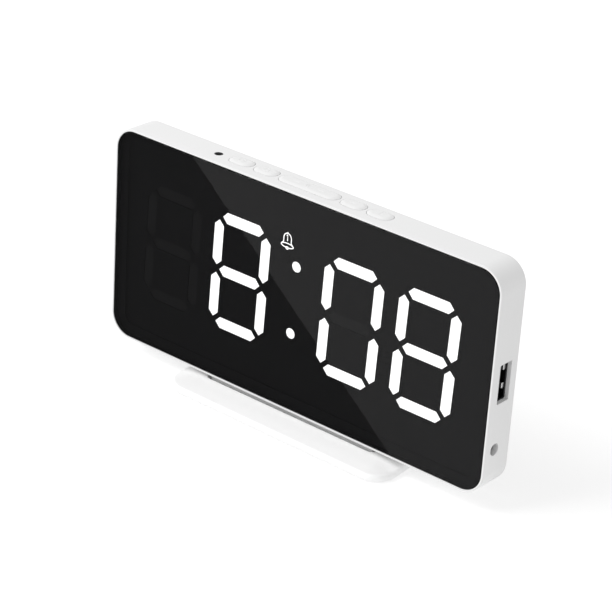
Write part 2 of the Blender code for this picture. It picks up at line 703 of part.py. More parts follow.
def make_screw(bench, name, x, z, head_back, head_radius, shank_radius, length):
    """A cross-head screw that drives towards the front."""
    under = SCREW_HEAD_THICK
    tip = shank_radius / 2
    crown = head_radius - SMALL_ROUND
    profile = [(0, 0), (crown, 0), (head_radius, -SMALL_ROUND), (head_radius, -under)]
    profile += [(shank_radius, -under), (shank_radius, -length + shank_radius), (tip, -length), (0, -length)]
    screw = bench.turned(name, profile, (radians(-90), 0.0, 0.0), (x, head_back, z), "bright_steel")
    long_bar = rectangle(x, z, head_radius, CROSS_WIDTH)
    tall_bar = rectangle(x, z, CROSS_WIDTH, head_radius)
    for mark, outline in (("a", long_bar), ("b", tall_bar)):
        floor = head_back - CROSS_DEEP
        cut(screw, bench.plate(f"{name}_cross_{mark}", [outline], "front", floor, head_back + OVERCUT))


def make_buttons(bench):
    """Five caps in the top wall, each over its own push switch."""
    for name, x, length in BUTTONS:
        outline = pill(x, BUTTON_ROW_DEPTH, length, BUTTON_WIDTH)
        cap = bench.plate(name, [outline], "top", LIP_BOTTOM, CASE_TOP + BUTTON_PROUD, "white_button")
        move_origin(cap, (x, BUTTON_ROW_DEPTH, CASE_TOP))
        soften(cap, BUTTON_ROUND, 0.0, 1.0)
        lip = pill(x, BUTTON_ROW_DEPTH, length + 2 * BUTTON_LIP, BUTTON_WIDTH + 2 * BUTTON_LIP)
        join(cap, bench.plate(f"{name}_lip", [lip], "top", LIP_BOTTOM, LIP_TOP))
        stem = circle(x, BUTTON_ROW_DEPTH, PLUNGER_RADIUS, SMALL_STEPS)
        join(cap, bench.plate(f"{name}_stem", [stem], "top", CAP_BOTTOM, LIP_TOP - BITE))

        label = name.replace("_button", "")
        body = rectangle(x, BUTTON_ROW_DEPTH, SWITCH_SIZE, SWITCH_SIZE)
        switch = bench.plate(f"{label}_switch", [body], "top", SWITCH_BOTTOM, SWITCH_TOP, "black_chip")
        hole = circle(x, BUTTON_ROW_DEPTH, PLUNGER_RADIUS + SLIDE_GAP, SMALL_STEPS)
        foot = SWITCH_TOP - PLUNGER_SUNK
        floor = foot - BUTTON_TRAVEL - GAP
        cut(switch, bench.plate(f"{label}_switch_bore", [hole], "top", floor, SWITCH_TOP + OVERCUT))
        rod = circle(x, BUTTON_ROW_DEPTH, PLUNGER_RADIUS, SMALL_STEPS)
        plunger = bench.plate(f"{label}_plunger", [rod], "top", foot, PLUNGER_TOP, "black_moulding")
        move_origin(plunger, (x, BUTTON_ROW_DEPTH, CASE_TOP))


def move_origin(thing, place):
    """Moves the object's origin to a place in the body frame, with its shape left where it is."""
    shift = thing.rotation_euler.to_matrix().inverted() @ (thing.location - type(thing.location)(place))
    for vertex in thing.data.vertices:
        vertex.co += shift
    thing.location = place


def make_key_board(bench):
    width = KEY_BOARD_RIGHT - KEY_BOARD_LEFT
    depth = KEY_BOARD_BACK - KEY_BOARD_FRONT
    middle_x = (KEY_BOARD_LEFT + KEY_BOARD_RIGHT) / 2
    middle_y = (KEY_BOARD_FRONT + KEY_BOARD_BACK) / 2
    outline = rectangle(middle_x, middle_y, width, depth)
    bench.plate("key_board", [outline], "top", KEY_BOARD_BOTTOM, KEY_BOARD_TOP, "circuit_board")

    tall = CASE_TOP - SENSOR_SUNK - KEY_BOARD_TOP - GAP
    lens = [(0, tall)]
    for i in range(1, CORNER_STEPS + 1):
        angle = pi / 2 * (1 - i / CORNER_STEPS)
        lens.append((SENSOR_RADIUS * cos(angle), tall - SENSOR_DOME * (1 - sin(angle))))
    flange = SENSOR_RADIUS + SENSOR_FLANGE_REACH
    lens += [(SENSOR_RADIUS, SENSOR_FLANGE), (flange, SENSOR_FLANGE), (flange, 0), (0, 0)]
    base = (SENSOR_X, SENSOR_DEPTH, KEY_BOARD_TOP + GAP)
    bench.turned("light_sensor", lens, (0.0, 0.0, 0.0), base, "sensor_lens")

    block = rounded_rectangle(BUZZER_X, middle_y, BUZZER_SIZE, depth, BUZZER_CORNER, CORNER_STEPS)
    low = KEY_BOARD_TOP + GAP
    high = low + BUZZER_HEIGHT
    buzzer = bench.plate("buzzer", [block], "top", low, high, "black_moulding")
    soften(buzzer, STUB_ROUND, 0.0, 1.0)
    mouth = circle(BUZZER_X, BUTTON_ROW_DEPTH, BUZZER_HOLE, SMALL_STEPS)
    cut(buzzer, bench.plate("buzzer_mouth", [mouth], "top", high - BUZZER_MOUTH_DEEP, high + OVERCUT))


def make_usb_socket(bench):
    """Sheet-metal shell, moulded tongue and four contacts, just behind the wall's opening."""
    outer = rectangle(USB_DEPTH, USB_Z, USB_WIDE, USB_TALL)
    left = SOCKET_MOUTH - USB_LENGTH
    shell = bench.plate("usb_shell", [outer], "side", left, SOCKET_MOUTH, "bright_steel")
    inner = rectangle(USB_DEPTH, USB_Z, USB_WIDE - 2 * USB_METAL, USB_TALL - 2 * USB_METAL)
    cut(shell, bench.plate("usb_hollow", [inner], "side", left + USB_METAL, SOCKET_MOUTH + OVERCUT))

    back = USB_DEPTH + USB_WIDE / 2 - USB_METAL - USB_TONGUE_BACK
    front = back - USB_TONGUE_THICK
    root = left + USB_METAL + GAP
    tip = SOCKET_MOUTH - USB_TONGUE_SETBACK
    tongue = rectangle((front + back) / 2, USB_Z, USB_TONGUE_THICK, USB_TONGUE_TALL)
    bench.plate("usb_tongue", [tongue], "side", root, tip, "black_moulding")
    pin_middle = front - GAP - USB_PIN_THICK / 2
    for number, rise in enumerate(USB_PIN_RISES, start=1):
        length = USB_LONG_PIN if number in (1, 4) else USB_SHORT_PIN
        pin = rectangle(pin_middle, USB_Z + rise, USB_PIN_THICK, USB_PIN_WIDTH)
        bench.plate(f"usb_contact_{number}", [pin], "side", root, root + length, "gold_contact")


def make_power_jack(bench):
    left = SOCKET_MOUTH - JACK_LENGTH
    block = rectangle(JACK_DEPTH, JACK_Z, JACK_SIZE, JACK_SIZE)
    jack = bench.plate("power_jack", [block], "side", left, SOCKET_MOUTH, "black_moulding")
    bore = circle(JACK_DEPTH, JACK_Z, JACK_HOLE)
    bottom = SOCKET_MOUTH - JACK_BORE_DEEP
    cut(jack, bench.plate("jack_bore", [bore], "side", bottom, SOCKET_MOUTH + OVERCUT))
    start = bottom + GAP
    radius = JACK_PIN_RADIUS
    profile = [(0, JACK_PIN_LENGTH), (radius / 2, JACK_PIN_LENGTH), (radius, JACK_PIN_LENGTH - radius / 2)]
    profile += [(radius, 0), (0, 0)]
    turn = (0.0, radians(90), 0.0)
    bench.turned("power_jack_pin", profile, turn, (start, JACK_DEPTH, JACK_Z), "bright_steel")


def make_battery(bench):
    """Coin cell in a ring on the board, with a sprung contact under it and a twist-off door over it."""
    ring_inner = CELL_RADIUS + GAP
    ring = [circle(CELL_X, CELL_Z, radius, CELL_STEPS) for radius in (ring_inner + HOLDER_WALL, ring_inner)]
    bench.plate("battery_holder", ring, "front", HOLDER_FRONT, HOLDER_BACK, "black_moulding")
    long = 2 * (CELL_RADIUS - CONTACT_INSET)
    strip = rounded_rectangle(CELL_X, CELL_Z, long, CONTACT_WIDTH, CONTACT_CORNER, CORNER_STEPS)
    strip_back = HOLDER_FRONT + CONTACT_THICK
    bench.plate("battery_contact", [strip], "front", HOLDER_FRONT, strip_back, "bright_steel")

    profile = [(0, CELL_THICK), (CELL_RADIUS - CELL_RIM, CELL_THICK), (CELL_RADIUS, CELL_THICK - CELL_RIM)]
    profile += [(CELL_RADIUS, CELL_RIM), (CELL_RADIUS - CELL_CAP_INSET, 0), (0, 0)]
    turn = (radians(-90), 0.0, 0.0)
    place = (CELL_X, CELL_FRONT, CELL_Z)
    bench.turned("coin_cell", profile, turn, place, "bright_steel", steps=CELL_STEPS)

    disc = circle(0, 0, DOOR_RADIUS, DOOR_STEPS)
    door = bench.plate("battery_door", [disc], "front", COVER_FRONT, DOOR_BACK, "white_shell")
    soften(door, SMALL_ROUND, 1.0, 0.0)
    hub = [circle(0, 0, radius, DOOR_STEPS) for radius in (DOOR_RADIUS, DOOR_RADIUS - DOOR_WALL)]
    hub_tool = bench.plate("door_hub", hub, "front", COVER_FRONT - DOOR_HUB_DEEP, COVER_FRONT + BITE)
    lug_root = DOOR_RADIUS - DOOR_WALL / 2
    lug_end = DOOR_RADIUS + LUG_REACH
    lug_mid = (lug_root + lug_end) / 2
    lugs = [rectangle(side * lug_mid, 0, lug_end - lug_root, LUG_WIDTH) for side in (-1, 1)]
    lug_back = COVER_FRONT - GAP
    lug_tool = bench.plate("door_lugs", lugs, "front", lug_back - LUG_THICK, lug_back)
    slot = pill(0, 0, DOOR_SLOT_LENGTH, DOOR_SLOT_WIDTH, CORNER_STEPS)
    slot_tool = bench.plate("door_slot", [slot], "front", DOOR_BACK - DOOR_SLOT_DEEP, DOOR_BACK + OVERCUT)
    hinge = bpy.data.objects.new("battery_door_axis", None)
    bench.parts.objects.link(hinge)
    hinge.parent = bench.body
    hinge.location = (CELL_X, 0.0, CELL_Z)
    for piece in (door, hub_tool, lug_tool, slot_tool):
        piece.parent = hinge
    join(door, hub_tool)
    join(door, lug_tool)
    cut(door, slot_tool)


def cover_screw_places():
    return [(side * SCREW_X, z) for side in (-1, 1) for z in (SCREW_BOTTOM_Z, SCREW_TOP_Z)]


def make_rear_cover(bench):
    """The flat cover let into the case's back, with posts that hold the display board."""
    width = INNER_WIDTH - 2 * GAP
    height = INNER_HEIGHT - 2 * GAP
    outline = rounded_rectangle(0, CASE_MID, width, height, INNER_CORNER - GAP)
    cover = bench.plate("rear_cover", [outline], "front", COVER_FRONT, COVER_BACK, "white_shell")
    soften(cover, SMALL_ROUND, 1.0, 0.0)
    posts = [circle(x, CASE_MID + rise, POST_RADIUS, SMALL_STEPS) for x, rise in POST_PLACES]
    join(cover, bench.plate("cover_posts", posts, "front", BOARD_BACK + GAP, COVER_FRONT + BITE))

    through = [circle(x, z, COVER_SCREW_SHANK + GAP, SMALL_STEPS) for x, z in cover_screw_places()]
    for column in range(GRILLE_COLUMNS):
        for row in range(GRILLE_ROWS):
            x = BUZZER_X + (column - (GRILLE_COLUMNS - 1) / 2) * GRILLE_PITCH
            z = INNER_TOP - GRILLE_DROP + row * GRILLE_PITCH
            through.append(circle(x, z, GRILLE_HOLE, HOLE_STEPS))
    cut(cover, bench.plate("cover_holes", through, "front", COVER_FRONT - OVERCUT, OUT_BACK))
    heads = [circle(x, z, COVER_SCREW_HEAD + GAP) for x, z in cover_screw_places()]
    head_floor = COVER_BACK - SCREW_HEAD_THICK - GAP
    cut(cover, bench.plate("head_wells", heads, "front", head_floor, OUT_BACK))
    well = circle(CELL_X, CELL_Z, DOOR_RADIUS + SLIDE_GAP, DOOR_STEPS)
    cut(cover, bench.plate("door_opening", [well], "front", COVER_FRONT - OVERCUT, OUT_BACK))
    across = rectangle(CELL_X, CELL_Z, 2 * (DOOR_RADIUS + LUG_REACH + GAP), LUG_WIDTH + 2 * GAP)
    notch = turned_about(across, CELL_X, CELL_Z, -DOOR_TWIST)
    cut(cover, bench.plate("door_notches", [notch], "front", COVER_FRONT - OVERCUT, OUT_BACK))
    for number, (x, z) in enumerate(cover_screw_places(), start=1):
        name = f"cover_screw_{number}"
        make_screw(bench, name, x, z, COVER_BACK, COVER_SCREW_HEAD, COVER_SCREW_SHANK, COVER_SCREW_LENGTH)


def turned_about(points, x, y, angle):
    """The points turned counter-clockwise about (x, y)."""
    turned = []
    for px, py in points:
        along = px - x
        up = py - y
        turned.append((x + along * cos(angle) - up * sin(angle), y + along * sin(angle) + up * cos(angle)))
    return turned


def make_foot(bench):
    """A low plate that rises gently from its edge to the well, on four rubber pads."""
    levels = [(FOOT_CLEAR, FOOT_CHAMFER), (FOOT_CLEAR + FOOT_CHAMFER, 0.0)]
    for i in range(FOOT_STEPS + 1):
        angle = pi / 2 * i / FOOT_STEPS
        levels.append((FOOT_RIM_HEIGHT - FOOT_ROUND * (1 - sin(angle)), FOOT_ROUND * (1 - cos(angle))))
    for i in range(1, FOOT_STEPS + 1):
        share = i / FOOT_STEPS
        rise = (FOOT_HEIGHT - FOOT_RIM_HEIGHT) * sin(share * pi / 2)
        levels.append((FOOT_RIM_HEIGHT + rise, FOOT_ROUND + FOOT_SLOPE * share))
    work = bmesh.new()
    rings = []
    for height, inset in levels:
        corner = max(FOOT_CORNER - inset, FOOT_LEAST_CORNER)
        points = rounded_rectangle(0, 0, FOOT_WIDTH - 2 * inset, FOOT_DEPTH - 2 * inset, corner)
        rings.append([work.verts.new((x, y, height)) for x, y in points])
    for lower, upper in zip(rings, rings[1:]):
        for i in range(len(lower)):
            j = (i + 1) % len(lower)
            work.faces.new((lower[i], lower[j], upper[j], upper[i]))
    work.faces.new(rings[-1])
    work.faces.new(list(reversed(rings[0])))
    mesh = bpy.data.meshes.new("foot")
    work.to_mesh(mesh)
    work.free()
    foot = bench.add("foot", mesh, "white_shell", None)

    well_y = WELL_FRONT + WELL_DEPTH / 2 - FOOT_MID_Y
    well = rounded_rectangle(0, well_y, WELL_LENGTH, WELL_DEPTH, WELL_CORNER)
    cut(foot, bench.plate("foot_well", [well], "top", WELL_FLOOR, FOOT_HEIGHT + OVERCUT, parent="world"))
    pad_x = FOOT_WIDTH / 2 - PAD_INSET_X
    pad_y = FOOT_DEPTH / 2 - PAD_INSET_Y
    places = [(side_x * pad_x, side_y * pad_y) for side_x in (-1, 1) for side_y in (-1, 1)]
    pockets = [circle(x, y, PAD_RADIUS + GAP) for x, y in places]
    pocket_top = FOOT_CLEAR + PAD_SUNK + GAP
    cut(foot, bench.plate("pad_pockets", pockets, "top", -OVERCUT, pocket_top, parent="world"))
    for number, (x, y) in enumerate(places, start=1):
        disc = circle(x, y, PAD_RADIUS)
        pad = bench.plate(f"foot_pad_{number}", [disc], "top", 0.0, PAD_THICK, "rubber", "world")
        soften(pad, SMALL_ROUND, 1.0, 0.0)


def main():
    clear_scene()
    bench = Bench()
    make_housing(bench)
    make_panel(bench)
    make_display(bench)
    make_display_board(bench)
    make_buttons(bench)
    make_key_board(bench)
    make_usb_socket(bench)
    make_power_jack(bench)
    make_battery(bench)
    make_rear_cover(bench)
    make_foot(bench)
    for piece in bench.parts.objects:
        if piece.type == "MESH":
            piece.data.shade_smooth()
            piece.data.set_sharp_from_angle(angle=radians(35))


main()
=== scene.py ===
"""Looks of the mirror-front desk alarm clock: a Blender add-on that is run as a script."""

import json
from math import atan2, cos, pi, radians, sin, tan

import bmesh
import bpy
from bpy.props import FloatProperty, FloatVectorProperty, PointerProperty
from mathutils import Matrix, Vector


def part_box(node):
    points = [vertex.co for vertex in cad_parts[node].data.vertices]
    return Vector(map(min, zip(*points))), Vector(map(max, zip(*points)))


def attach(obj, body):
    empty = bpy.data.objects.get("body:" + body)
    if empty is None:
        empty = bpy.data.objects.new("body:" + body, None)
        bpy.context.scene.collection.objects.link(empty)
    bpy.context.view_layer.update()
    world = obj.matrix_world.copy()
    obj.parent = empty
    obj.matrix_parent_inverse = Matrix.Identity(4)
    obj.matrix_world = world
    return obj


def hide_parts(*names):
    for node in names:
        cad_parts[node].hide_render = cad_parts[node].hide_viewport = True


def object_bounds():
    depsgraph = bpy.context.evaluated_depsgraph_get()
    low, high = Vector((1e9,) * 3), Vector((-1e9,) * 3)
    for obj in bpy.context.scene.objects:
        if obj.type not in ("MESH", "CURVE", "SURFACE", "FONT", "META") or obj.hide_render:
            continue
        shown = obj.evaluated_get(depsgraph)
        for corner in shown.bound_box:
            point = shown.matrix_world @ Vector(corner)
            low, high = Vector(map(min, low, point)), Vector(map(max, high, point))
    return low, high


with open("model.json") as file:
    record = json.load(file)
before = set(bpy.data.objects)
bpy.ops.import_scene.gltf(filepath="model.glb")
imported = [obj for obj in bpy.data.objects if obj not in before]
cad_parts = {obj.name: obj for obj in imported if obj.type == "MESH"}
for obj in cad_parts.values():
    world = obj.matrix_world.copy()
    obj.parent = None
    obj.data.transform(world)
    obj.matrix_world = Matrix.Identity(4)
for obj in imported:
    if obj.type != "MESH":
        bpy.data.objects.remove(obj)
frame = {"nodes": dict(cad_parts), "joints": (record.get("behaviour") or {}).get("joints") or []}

bl_info = {
    "name": "Desk Alarm Clock",
    "version": (1, 0, 0),
    "blender": (4, 5, 0),
    "location": "3D View > Sidebar > Clock",
    "description": "Builds the finished pieces, finishes and studio of a mirror-front desk alarm clock",
    "category": "Object",
}

CAD_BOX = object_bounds()

# Facets of round shapes, how far a cutter passes a face, and the smallest corner of an outline.
CORNER_STEPS = 14
EDGE_STEPS = 5
DOOR_STEPS = 24
GRILLE_STEPS = 6
RISE_STEPS = 8
OVERCUT = 0.001
LEAST_CORNER = 0.00005
SAME_POINT = 0.0000002
SMOOTH_ANGLE = radians(32)
SHARPEST_WEIGHT = 100

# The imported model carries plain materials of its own, so the finishes are named apart from those.
FINISH_PREFIX = "finish_"

# What each digit shows: its three bars from the bottom up, then its left and its right posts.
NONE_LIT = (False,) * 7
ALL_LIT = (True,) * 7
NO_MIDDLE = (True, False, True, True, True, True, True)
SHOWN = {
    "digit_guide_1": NONE_LIT,
    "digit_guide_2": ALL_LIT,
    "digit_guide_3": NO_MIDDLE,
    "digit_guide_4": ALL_LIT,
}
BUTTONS = ("time_button", "alarm_button", "snooze_button", "down_button", "up_button")
USB_CONTACTS = tuple(f"usb_contact_{number}" for number in range(1, 5))
COVER_SCREWS = tuple(f"cover_screw_{number}" for number in range(1, 5))
FOOT_PADS = tuple(f"foot_pad_{number}" for number in range(1, 5))


# ---------------------------------------------------------------------------
# The case's own leaning frame
# ---------------------------------------------------------------------------

def lean_angle():
    """How far the case leans back, from the way its buttons are pressed."""
    press = next(joint for joint in frame["joints"] if joint["name"] == "snooze_press")
    return atan2(-press["axis"][1], -press["axis"][2])


LEAN = Matrix.Rotation(-lean_angle(), 4, "X")


def lean_points(node):
    """The corners of a CAD node along the case's own leaning directions."""
    upright = LEAN.inverted()
    return [upright @ vertex.co for vertex in frame["nodes"][node].data.vertices]


def lean_box(node):
    """Lowest and highest corner of a CAD node along the case's own leaning directions."""
    points = lean_points(node)
    low = Vector(min(point[i] for point in points) for i in range(3))
    high = Vector(max(point[i] for point in points) for i in range(3))
    return low, high


CASE_LOW, CASE_HIGH = lean_box("front_housing")
PANEL_LOW, PANEL_HIGH = lean_box("front_panel")
PANEL_MARGIN = CASE_HIGH.z - PANEL_HIGH.z
ORIGIN = Vector(((CASE_LOW.x + CASE_HIGH.x) / 2, CASE_LOW.y, PANEL_LOW.z - PANEL_MARGIN))
TO_WORLD = LEAN @ Matrix.Translation(ORIGIN)


def place_of(node):
    """Lowest and highest corner of a CAD node, measured across, from the front and from the case's bottom."""
    low, high = lean_box(node)
    return low - ORIGIN, high - ORIGIN


CASE_WIDTH = CASE_HIGH.x - CASE_LOW.x
CASE_DEPTH = CASE_HIGH.y - CASE_LOW.y
CASE_HEIGHT = CASE_HIGH.z - ORIGIN.z
TONGUE_END = CASE_LOW.z - ORIGIN.z
CASE_MID = CASE_HEIGHT / 2


# ---------------------------------------------------------------------------
# Sizes and colours that can be changed
# ---------------------------------------------------------------------------

def size(label, default):
    return FloatProperty(name=label, default=default, unit="LENGTH", precision=5)


def share(label, default):
    return FloatProperty(name=label, default=default, min=0.0)


def angle(label, degrees):
    return FloatProperty(name=label, default=radians(degrees), subtype="ANGLE")


def point(label, default):
    return FloatVectorProperty(name=label, default=default, subtype="TRANSLATION", unit="LENGTH")


def tint(label, default):
    return FloatVectorProperty(name=label, default=default, subtype="COLOR", size=3)


class ClockSizes(bpy.types.PropertyGroup):
    """Sizes of the finished pieces, in metres."""

    case_corner: size("Radius of the case's outline", 0.0082)
    wall: size("Thickness of the housing's walls", 0.0020)
    rim: size("Width of the white rim round the front panel", 0.0007)
    rebate: size("Depth of the seat that the front panel lies in", 0.0024)
    front_round: size("Rounding of the rim's outer edge", 0.00022)
    back_round: size("Rounding of the case's back edge", 0.0010)
    panel_round: size("Polished rounding of the front panel", 0.00020)
    panel_thick: size("Thickness of the front panel", 0.0018)
    mouth_chamfer: size("Chamfer round each opening in the housing", 0.00008)
    gap: size("Clearance between neighbouring pieces", 0.0003)
    ink_border: size("Width of the printed border behind the panel's edge", 0.0036)
    mask_thick: size("Thickness of the printed mask behind the front panel", 0.00012)
    mask_gap: size("Clearance round and behind the printed mask", 0.0001)
    film_gap: size("From the panel to the printed border on its back", 0.00002)
    band_inside: size("From the panel's edge to the dark band round it", 0.00006)
    band_outside: size("From the panel's edge to the dark band's outer side", 0.00024)
    stroke: size("Width of a display segment", 0.0040)
    tip: size("Length of a segment's point", 0.0019)
    bar_length: size("Length of a level segment", 0.0177)
    post_length: size("Length of an upright segment", 0.01635)
    half_span: size("From a digit's middle to its uprights", 0.01015)
    row_rise: size("From one level segment to the next", 0.0191)
    slant: angle("Lean of the digits", 1.9)
    light_proud: size("How far a light guide stands in front of the display frame", 0.00005)
    light_overlap: size("How far a light guide reaches behind its window's edge", 0.00018)
    dot_radius: size("Radius of the colon's dots", 0.00182)
    dot_rise: size("From the colon's middle to each dot", 0.0120)
    sign_stroke: size("Width of the bell sign's lines", 0.00036)
    sign_width: size("Width of the bell sign", 0.0051)
    sign_height: size("Height of the bell sign", 0.0050)
    sign_lift: size("How far the bell sign stands above its lamp's middle", 0.0005)
    cap_dome: size("Width of the soft rise from a button's edge to its top", 0.0015)
    cap_edge: size("How far a button's edge stands above the case", 0.00004)
    cap_gap: size("Clearance seen round a button", 0.00011)
    stem_radius: size("Radius of the stem under a button", 0.001529)
    symbol_size: size("Radius of the clock sign on its button, which sets the other signs", 0.00125)
    symbol_radius: size("Half width of a raised line on a button or on the door", 0.00017)
    socket_tall: size("Height of the USB opening", 0.0134)
    socket_wide: size("Width of the USB opening", 0.0059)
    sheet: size("Thickness of the USB cage's sheet metal", 0.0003)
    spring_long: size("Length of a slot beside a spring of the USB cage", 0.0030)
    spring_wide: size("Width of a slot beside a spring of the USB cage", 0.0012)
    cage_reach: size("How far the USB cage reaches into its opening", 0.0009)
    clip_back: size("From the cage's mouth to the plates on its tongue", 0.0004)
    clip_wide: size("Width of the plates on the USB tongue's end", 0.0010)
    clip_tall: size("Height of the plates on the USB tongue's end", 0.0018)
    clip_high: size("Height of the upper plate above the tongue's middle", 0.0042)
    clip_low: size("Height of the lower plate above the tongue's middle", -0.0021)
    jack_hole: size("Radius of the power jack's opening", 0.00205)
    jack_clear: size("How much narrower the jack is than its room, to clear the mask", 0.0009)
    sensor_hole: size("Radius of the light sensor's hole", 0.0015)
    sensor_flange: size("Thickness of the light sensor's flange", 0.0010)
    bezel_gap: size("Clearance of the bezel in the sensor's hole", 0.00003)
    bezel_thick: size("Thickness of the bezel in the sensor's hole", 0.00015)
    cover_thick: size("Thickness of the rear cover's plate", 0.0013)
    grille_pitch: size("From one hole of the sound grille to the next", 0.0030)
    grille_hole: size("Radius of a hole of the sound grille", 0.0008)
    grille_drop: size("From the top wall to the lower row of the sound grille", 0.0058)
    label_left: size("From the cover's middle to the middle of the blank label recess", 0.030)
    label_drop: size("From the cover's middle down to that of the label recess", 0.004)
    label_wide: size("Width of the blank label recess", 0.052)
    label_tall: size("Height of the blank label recess", 0.026)
    label_corner: size("Corner radius of the blank label recess", 0.0015)
    label_deep: size("Depth of the blank label recess", 0.00012)
    screw_well: size("Depth of a cover screw's well", 0.00102)
    screw_head: size("Thickness of a screw's head", 0.0006)
    screw_round: size("Rounding of a screw's head", 0.00018)
    screw_cross: size("Depth of a screw's cross", 0.00084)
    hub_wall: size("Thickness of the battery door's round wall", 0.0007)
    hub_deep: size("How far the battery door's round wall reaches inwards", 0.0010)
    lug_tall: size("Height of the battery door's lugs", 0.0050)
    lug_deep: size("How far the battery door's lugs reach inwards", 0.0009)
    coin_long: size("Length of the battery door's coin slot", 0.0110)
    coin_wide: size("Width of the battery door's coin slot", 0.0016)
    coin_deep: size("Depth of the battery door's coin slot", 0.0008)
    arrow_barb: size("Length of the barbs of the battery door's arrow", 0.0017)
    arrow_dot: size("Radius of the dots beside the battery door's arrow", 0.0003)
    foot_corner: size("Radius of the foot's outline", 0.0080)
    foot_edge: size("Height of the foot's outer edge", 0.0030)
    foot_slope: size("Width of the gentle rise from the edge", 0.0080)
    foot_round: size("Rounding of the foot's top edge", 0.0012)
    well_length: size("Length of the slot in the foot", 0.0731)
    well_width: size("Width of the slot in the foot", 0.0114)
    well_corner: size("Corner radius of the slot in the foot", 0.0025)
    well_setback: size("From the case's front to the slot's front edge", 0.0010)
    well_floor: size("Height of the slot's floor", 0.0012)


class ClockColours(bpy.types.PropertyGroup):
    """Colours of the finishes."""

    shell: tint("White moulded shell", (0.78, 0.78, 0.78))
    button: tint("White button caps", (0.78, 0.78, 0.78))
    # The foot is the same white plastic as the shell. Its lighter white is painted light that makes up for
    # the shade the case throws on the foot.
    foot: tint("White foot", (0.95, 0.95, 0.95))
    acrylic: tint("Smoked acrylic", (0.004, 0.004, 0.0045))
    mask: tint("Black print behind the panel", (0.006, 0.006, 0.0065))
    light: tint("Lit segments", (1.0, 1.0, 1.0))
    resting: tint("Segments that are off", (0.0095, 0.0095, 0.010))
    steel: tint("Sheet steel and screws", (0.62, 0.62, 0.61))
    polish: tint("Polished plates on the USB tongue's end", (0.95, 0.95, 0.95))
    nickel: tint("Dark nickel of the USB cage", (0.038, 0.038, 0.040))
    gold: tint("Plated contacts", (0.86, 0.72, 0.46))
    board: tint("Solder mask", (0.02, 0.15, 0.07))
    dark: tint("Black moulded parts", (0.018, 0.018, 0.019))
    jack: tint("Grey moulding of the power jack", (0.062, 0.062, 0.064))
    lens: tint("Dark sensor lens", (0.012, 0.010, 0.010))
    rubber: tint("Rubber pads", (0.045, 0.045, 0.046))
    ribbon: tint("Flat cable", (0.70, 0.67, 0.56))
    floor: tint("Studio floor", (0.58, 0.58, 0.58))


class ClockStudio(bpy.types.PropertyGroup):
    """The camera and the lights."""

    azimuth: angle("Camera turned to the right of the front", 40.546)
    elevation: angle("Camera above the table", 29.626)
    distance: size("From the camera to the point it looks at", 0.7597)
    aim: point("The point looked at, from the middle of the model's box", (-0.00592, 0.00411, -0.00576))
    lens: share("Focal length in millimetres", 136.04)
    sky: share("Strength of the even white surround", 0.74)
    key: share("Power of the large softbox, in watts", 9.0)
    key_size: size("Width of the large softbox", 0.75)
    key_place: point("Middle of the large softbox", (-0.62, -0.55, 1.02))
    floor_reach: size("From the floor's middle to its sides", 6.0)
    floor_glow: share("Strength of the light table that the clock stands on", 0.49)
    mirrored_sky: share("Brightness of the dark flag that the panel mirrors", 0.29)
    flag_top: size("Where the flag's mirrored edge meets the panel's top", -0.0467)
    flag_bottom: size("Where the flag's mirrored edge meets the panel's bottom", 0.0454)
    flag_lift: size("Height of the flag above the floor", 0.0002)
    flag_past: size("How far the flag's edge goes on past the panel's mirror image", 0.6)
    flag_wide: size("Width of the flag", 0.9)
    glow: share("Strength of the lit segments", 1.9)
    smoke: share("How dense the smoked panel's polished side is, from 0 to 1", 0.40)
    panel_gloss: share("How strongly the panel mirrors", 0.43)
    smoke_behind: share("How dense the smoked panel's glued side is, from 0 to 1", 0.08)


# ---------------------------------------------------------------------------
# Shader maths
# ---------------------------------------------------------------------------

class Value:
    """A shader socket that Python's arithmetic signs can work on; each sign adds a Math node."""

    def __init__(self, graph, socket):
        self.graph = graph
        self.socket = socket

    def __add__(self, other):
        return self.graph.math("ADD", self, other)

    __radd__ = __add__

    def __sub__(self, other):
        return self.graph.math("SUBTRACT", self, other)

    def __rsub__(self, other):
        return self.graph.math("SUBTRACT", other, self)

    def __mul__(self, other):
        return self.graph.math("MULTIPLY", self, other)

    __rmul__ = __mul__

    def __lt__(self, other):
        return self.graph.math("LESS_THAN", self, other)


